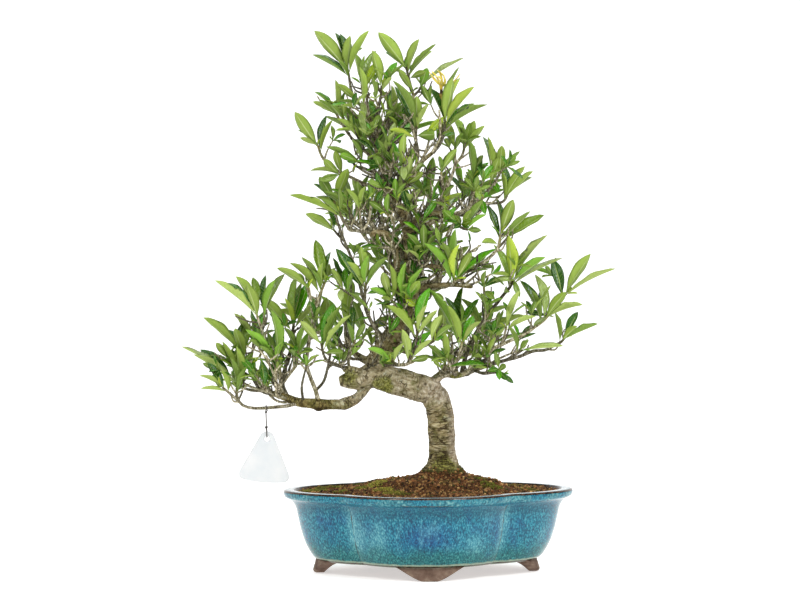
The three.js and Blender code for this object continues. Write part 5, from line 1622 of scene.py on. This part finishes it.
def dress_leaf(shape, leaf, steps=LEAF_STEPS, columns=LEAF_ACROSS):
    """Adds a folded, bowed blade with a waved edge, thick in the middle and thin at its rim."""
    root, tip, width, across, up, tone = leaf
    length = np.linalg.norm(tip - root)
    share = np.linspace(0, 1, steps)
    half = leaf_outline(share) * width / 2
    bow = length * (0.02 + 0.05 * random.random())
    droop = length * 0.05 * random.random()
    middle = root + np.outer(share, tip - root)
    middle += np.outer(bow * 4 * share * (1 - share) - droop * np.sin(math.pi * share) * share, up)
    middle += np.outer(np.sin(math.pi * share) * length * random.uniform(-0.03, 0.03), across)
    fold = random.uniform(0.3, 0.8)
    wave, phase = random.uniform(0.02, 0.07), random.uniform(0, 6)
    side = np.linspace(-1, 1, columns)
    waves = [np.sin(share * random.uniform(14, 20) + phase + k * 2.1) for k in (0, 1)]
    rows, places = [], []
    for i in range(steps):
        ripple = np.where(side < 0, waves[0][i], waves[1][i]) * wave * 2 * side ** 2
        lift = half[i] * (fold * np.abs(side) ** 1.3 + ripple)
        thick = LEAF_THICK * (1 - 0.6 * np.abs(side))
        top = middle[i] + np.outer(side * half[i], across) + np.outer(lift, up)
        low = top - np.outer(thick * min(1, half[i] + 0.3), up)
        rows.append(both_sides(top, low))
        value = place_values(share[i], side)
        places.append(both_sides(value, value))
    ring = 2 * columns - 2
    quads = grid_quads(steps, ring, True).reshape(steps - 1, ring, 4)
    upper = quads[:, :columns - 1].reshape(-1, 4)
    under = quads[:, columns - 1:].reshape(-1, 4)
    varied = np.array(tone[:3]) * random.uniform(0.7, 1.25)
    pale = varied * 0.6 + np.array(UNDER_TONE[:3]) * 0.4
    start = shape.count
    shape.add(np.vstack(rows), upper, slot=0, place=np.vstack(places), tone=varied, under=pale)
    shape.faces += (under + start).tolist()
    shape.slots += [1] * len(under)


def dress_twig(shape, places, thick, thin, green=0.8, sides=TWIG_ROUND):
    radii = np.linspace(thick, thin, len(places))
    rows = smooth_line(np.column_stack([places, radii]), TWIG_STEP)
    knots = [random.uniform(-0.05, 0.14) for _ in rows]
    rows[:, 3] *= 1 + np.array(knots) * (np.arange(len(rows)) % 3 == 0)
    points, quads, ends, share = tube(rows, sides)
    age = 1 - green * np.clip((share - 0.75) / 0.25, 0, 1)
    shade = random.choice(TWIG_SHADES)
    shape.add(points, quads, ends, slot=2, place=place_values(share, age), tone=shade, under=shade)


def make_sprays():
    for item in sprays:
        shape = Shape()
        for places, thick, thin in item["twigs"]:
            dress_twig(shape, places, thick, thin)
        for leaf in item["leaves"]:
            dress_leaf(shape, leaf)
        shape.make(item["name"] + "_leaves", LEAF_LOOKS, "leaves", [item["name"]])


make_sprays()


# Inner growth: small leaves in the middle of each whorl, side twigs with small whorls of their own,
# and thin bare twigs. It stays within the outline that the sprays give the crown.
CROWN_REACH = 10.0
YOUNG_LENGTH = 11.0
SMALL_LENGTH = 19.0
# Heights from which inner twigs grow on all stems, and forwards from the trunk
INNER_FROM, FORWARD_FROM = 205.0, 225.0
UPWARD = np.array([0.0, 0.0, 1.0])
# The inner leaves lean to the lighter tones: painted light in the shaded middle of the crown
INNER_TONES = [DARK, PLAIN, PLAIN, BRIGHT, OLIVE, LIGHT, LIGHT]
INNER_SEED = 11
grow = random.Random(INNER_SEED)
small_leaves, inner_twigs = [], []


def flat_view(points):
    """x and z of places as they show from the front."""
    points = np.atleast_2d(points)
    share = (EYE[1] / (EYE[1] - points[:, 1]))[:, None]
    return EYE[[0, 2]] + (points[:, [0, 2]] - EYE[[0, 2]]) * share


crown_marks = np.vstack([
    flat_view(root + (tip - root) * share)
    for item in sprays for root, tip, *rest in item["leaves"] for share in (0.1, 0.4, 0.7, 0.95)
])


def in_crown(place):
    return np.linalg.norm(crown_marks - flat_view(place), axis=1).min() < CROWN_REACH


def small_whorl(end, way, count, length, tones):
    """A few small leaves round the end of a twig, their upper sides inward."""
    side = unit(np.cross(way, (0.3, 1.0, 0.2)))
    other = np.cross(way, side)
    phase = grow.uniform(0, FULL_TURN)
    for k in range(count):
        turn = phase + 2 * math.pi * k / count + grow.uniform(-0.4, 0.4)
        lean = math.radians(grow.uniform(28, 65))
        out = side * math.cos(turn) + other * math.sin(turn)
        along = way * math.cos(lean) + out * math.sin(lean)
        tip = end + along * length * grow.uniform(0.65, 1.2)
        if not in_crown(tip):
            continue
        across = unit(np.cross(way, along))
        wide = np.linalg.norm(tip - end) * grow.uniform(0.26, 0.34)
        small_leaves.append((end, tip, wide, across, np.cross(along, across), grow.choice(tones)))


def any_way():
    return unit(np.array([grow.gauss(0, 1) for _ in range(3)]))


def side_twigs(places, spacing, reach, leafy, thick):
    """Twigs off a branch, one every spacing or so, the share leafy of them with leaves."""
    rows = smooth_line(places, 2.0)
    for _ in range(int(len(rows) * 2.0 / spacing + grow.random())):
        i = grow.randrange(1, len(rows) - 1)
        way = unit(rows[i + 1] - rows[i - 1])
        aim = way * 0.6 + any_way() * 1.1 + UPWARD * 0.4
        aim = unit(np.maximum(aim, [-9, -9, 0.1]))
        span = grow.uniform(*reach)
        middle = rows[i] + aim * span * 0.5 + any_way() * span * 0.07
        end = rows[i] + unit(aim + UPWARD * 0.3 + any_way() * 0.3) * span
        if not in_crown(end):
            continue
        made = [rows[i], middle, end]
        inner_twigs.append((np.array(made), thick, thick * 0.6))
        if grow.random() < leafy:
            small_whorl(end, unit(end - middle), grow.randrange(3, 6), SMALL_LENGTH, INNER_TONES)
        if span > 30:
            side_twigs(made, 9, (9, 20), leafy, thick * 0.75)


def grow_on_sprays():
    for item in sprays:
        for places, *radii in item["twigs"]:
            side_twigs(places, 13, (9, 26), 0.22, 1.05)
            way = unit(places[-1] - places[-2])
            small_whorl(places[-1], way, 3, YOUNG_LENGTH, [YOUNG, BRIGHT, LIGHT])


def grow_on_stems():
    upper_trunk = TRUNK_LENGTHS[2]
    for rows in [upper_trunk] + LIMBS:
        places = np.array([seen(row) for row in rows if row[1] > INNER_FROM])
        if len(places) > 2:
            side_twigs(places, 6.5, (20, 48), 0.1, 1.5)
    dense = ((upper_trunk[2:5], 2.8), (LIMBS[0][5:], 3.2), (LIMBS[1], 7), (LIMBS[2], 6))
    for rows, spacing in dense:
        side_twigs(np.array([seen(row) for row in rows]), spacing, (18, 58), 0.32, 1.5)
    for row in smooth_line([seen(row) for row in upper_trunk if row[1] > FORWARD_FROM], 10):
        aim = unit((grow.uniform(-0.7, 0.7), -1, grow.uniform(0.3, 1.1)))
        end = row + aim * grow.uniform(16, 30)
        inner_twigs.append((np.array([row, row + aim * 8, end]), 1.2, 0.8))
        small_whorl(end, unit(aim + UPWARD), grow.randrange(3, 5), 24, [DARK, BRIGHT, LIGHT, PALE])


# More leaves on the shoots above, as x and z of the tip, width, depth behind the shoot and tone
STRAY_LEAVES = [
    [-189, 199, 6, -8, BRIGHT], [-205, 243, 4, 8, PALE], [-165, 224, 7, 6, PALE],
    [-86, 270, 7, -8, PALE], [-69, 256, 8, -10, LIGHT], [-11, 265, 7, -8, YOUNG],
    [98, 258, 6, 8, DARK], [93, 273, 6, -8, LIGHT], [106, 244, 5, -8, PALE], [89, 290, 6, 8, PALE],
    [127, 271, 7, 8, DARK], [20, 322, 6, -8, OLIVE], [70, 293, 6, 6, DARK], [55, 340, 6, 6, DARK],
    [-48, 353, 7, -8, OLIVE], [-126, 434, 5, -6, PALE], [-107, 391, 8, -8, LIGHT],
    [-89, 371, 7, -6, OLIVE], [-64, 449, 8, -8, DARK], [-22, 391, 8, -10, PALE],
    [-15, 379, 9, -12, LIGHT], [-85, 538, 7, 8, DARK], [-78, 466, 7, -8, OLIVE],
    [-58, 448, 8, -10, BRIGHT], [1, 437, 9, -10, YOUNG], [31, 422, 8, -8, LIGHT],
    [42, 395, 7, 6, OLIVE], [73, 378, 7, -8, BRIGHT],
]
SHORTEST_STRAY = 13


def grow_strays():
    """Each stray leaf grows from the nearest shoot's end that leaves it long enough."""
    ends = np.array([places[-1] for item in sprays for places, *radii in item["twigs"]])
    for x, z, wide, behind, tone in STRAY_LEAVES:
        away = np.linalg.norm(flat_view(ends) - (x, z), axis=1)
        away[away < SHORTEST_STRAY] = math.inf
        end = ends[away.argmin()]
        small_leaves.append(leaf_between(end, seen((x, z, end[1] + behind)), wide, tone))


def make_inner_growth():
    bare, leafy = Shape(), Shape()
    for places, thick, thin in inner_twigs:
        dress_twig(bare, places, thick, thin, green=0.25, sides=6)
    for leaf in small_leaves:
        dress_leaf(leafy, leaf, steps=8, columns=5)
    bare.make("inner_twigs", LEAF_LOOKS, "bark")
    leafy.make("inner_leaves", LEAF_LOOKS, "leaves")


grow_on_sprays()
grow_on_stems()
grow_strays()
make_inner_growth()


# The spent bloom: a ribbed stalk, a narrow tube and twisted, curling petals
BLOOM_STALK = [
    [19, 455.6, -10, 1.3], [18.6, 463, -10, 1.5], [17, 471, -10, 1.6], [16, 476, -10, 2.4],
    [15.8, 479, -10, 1.5], [15.5, 486, -10, 1.9],
]
PETAL_THICK = 0.45
# A petal's middle line, seen from the front, with half its width
PETALS = [
    [[15.5, 485, -10, 1.1], [13, 490, -12, 1.6], [10, 495, -13, 1.4], [6.3, 499.5, -13, 0.4]],
    [[15.5, 485, -9, 1], [12, 488.5, -10, 1.3], [8, 493.5, -10, 1.1], [3.5, 499, -10, 0.3]],
    [[16, 485, -9, 1.1], [18.8, 489, -8, 1.6], [18.3, 494, -7, 1.4], [14.7, 499, -7, 0.4]],
    [[16, 485, -8, 1], [16.6, 491, -6, 1.3], [15.2, 497, -5, 1.1], [11.5, 501, -5, 0.3]],
    [[16.2, 485, -9, 1.1], [22, 486.5, -8, 1.4], [28.5, 489.5, -8, 1.3], [35, 497, -8, 0.3]],
    [[16, 485, -10, 1.1], [17, 490, -14, 1.5], [14, 494, -16, 1.2], [10, 494, -15, 0.3]],
]


def petal_skin():
    look = Look("petal_skin", Roughness=0.6, Specular_IOR_Level=0.3)
    along = look.values("place")[0]
    base = look.ramp(look.noise(3.4, 3), (0.3, "d6b83a"), (0.5, "ead85c"), (0.7, "f3edab"))
    green = look.fade(along, 0.0, 0.3, 0.7, 0.0)
    shown = look.mix(green, base, colour("a9b04e"))
    brown = look.math("MULTIPLY", look.fade(look.noise(2.6, 3), 0.55, 0.66),
                      look.fade(along, 0.4, 0.8))
    shown = look.mix(look.math("MULTIPLY", brown, 0.4), shown, colour("6b3c1a"))
    creases = look.noise(1.2, 3, look.stretched((1, 1, 0.3)))
    return look.finish(shown, None, creases, 0.5)


def add_petal(shape, rows, k):
    """A thin petal that twists along its rows, each petal the other way from the one before."""
    ways = np.gradient(rows[:, :3], axis=0)
    side = unit(np.cross(ways[0], (0.3 * k - 1, 1, 0.2)))
    cross = np.linspace(-1, 1, 9)
    sections, places = [], []
    for i, (row, way) in enumerate(zip(rows, ways)):
        way = unit(way)
        side = unit(side - way * side.dot(way))
        twist = 0.09 * i * (-1) ** k
        across = unit(side * math.cos(twist) + np.cross(way, side) * math.sin(twist))
        up = np.cross(way, across)
        curl = row[3] * (0.75 * cross ** 2 + 0.12 * np.sin(cross * 7 + i * 0.7))
        top = row[:3] + np.outer(cross * row[3], across) + np.outer(curl, up)
        sections.append(both_sides(top, top - up * PETAL_THICK))
        value = place_values(i / (len(rows) - 1), cross)
        places.append(both_sides(value, value))
    shape.add_stack(np.vstack(sections), len(sections[0]), slot=1, place=np.vstack(places))


def make_bloom():
    shape = Shape()
    points, quads, ends, share = tube(seen_line(BLOOM_STALK, 0.8), 12)
    shape.add(points, quads, ends, place=place_values(share * 0, 0.8))
    for k, petal in enumerate(PETALS):
        add_petal(shape, seen_line(petal, 1.0), k)
    shape.make("bloom_petals", [bloom_stalk(), petal_skin()], "petals", ["faded_bloom"])


def bloom_stalk():
    look = Look("bloom_stalk", Roughness=0.7, Specular_IOR_Level=0.3)
    height = look.height()
    base = look.ramp(look.noise(3, 3), (0.35, "6f5a26"), (0.55, "9c8a3c"), (0.7, "b5a552"))
    shown = look.mix(look.fade(height, 474, 477), base, colour("3b2a1a"))
    shown = look.mix(look.fade(height, 479, 481.5), shown, colour("c9ae3e"))
    return look.finish(shown, None, look.noise(1.2, 3), 0.3)


make_bloom()


# Backdrop and light
FLOOR_FRONT, FLOOR_BACK, FLOOR_SIDE, SWEEP, WALL = -4.0, 2.2, 6.0, 1.2, 6.0


def make_backdrop():
    """A floor that sweeps up into a wall, with no edge in view."""
    line = [(FLOOR_FRONT, 0)]
    for turn in np.linspace(0, math.pi / 2, 25):
        line.append((FLOOR_BACK + SWEEP * math.sin(turn), SWEEP * (1 - math.cos(turn))))
    line.append((FLOOR_BACK + SWEEP, WALL))
    points = [(x, y, z) for y, z in line for x in (-FLOOR_SIDE, FLOOR_SIDE)]
    mesh = bpy.data.meshes.new("backdrop")
    mesh.from_pydata(points, [], grid_quads(len(line), 2, False).tolist())
    mesh.shade_smooth()
    backdrop = put("backdrop", mesh)
    paper = Look("backdrop", Roughness=0.95, Specular_IOR_Level=0.1, Emission_Strength=0.52,
                 Base_Color=(0.86, 0.86, 0.86, 1), Emission_Color=(1, 1, 1, 1))
    mesh.materials.append(paper.material)


# Area lamps: name, place in metres, watts, size
LAMPS = [
    ("left", (-1.3, -1.5, 2.1), 25, 0.8), ("right", (1.3, -1.3, 2.0), 31, 0.7),
    ("top", (0.3, 0.5, 2.4), 23, 1.2), ("front", (0.2, -2.6, 0.9), 10, 1.6),
]
LAMP_AIM = Vector((0, 0, 0.25))
WORLD_COLOUR, WORLD_STRENGTH = (1, 1, 0.97, 1), 0.34


def make_light():
    world = bpy.data.worlds.new("studio")
    bpy.context.scene.world = world
    world.use_nodes = True
    background = world.node_tree.nodes["Background"].inputs
    background["Color"].default_value = WORLD_COLOUR
    background["Strength"].default_value = WORLD_STRENGTH
    for name, place, power, size in LAMPS:
        data = bpy.data.lights.new(name, "AREA")
        data.energy = power
        data.size = size
        lamp = put(name, data)
        lamp.location = place
        lamp.rotation_euler = (LAMP_AIM - Vector(place)).to_track_quat("-Z", "Y").to_euler()
    bpy.context.scene.view_settings.view_transform = "Standard"


make_backdrop()
make_light()
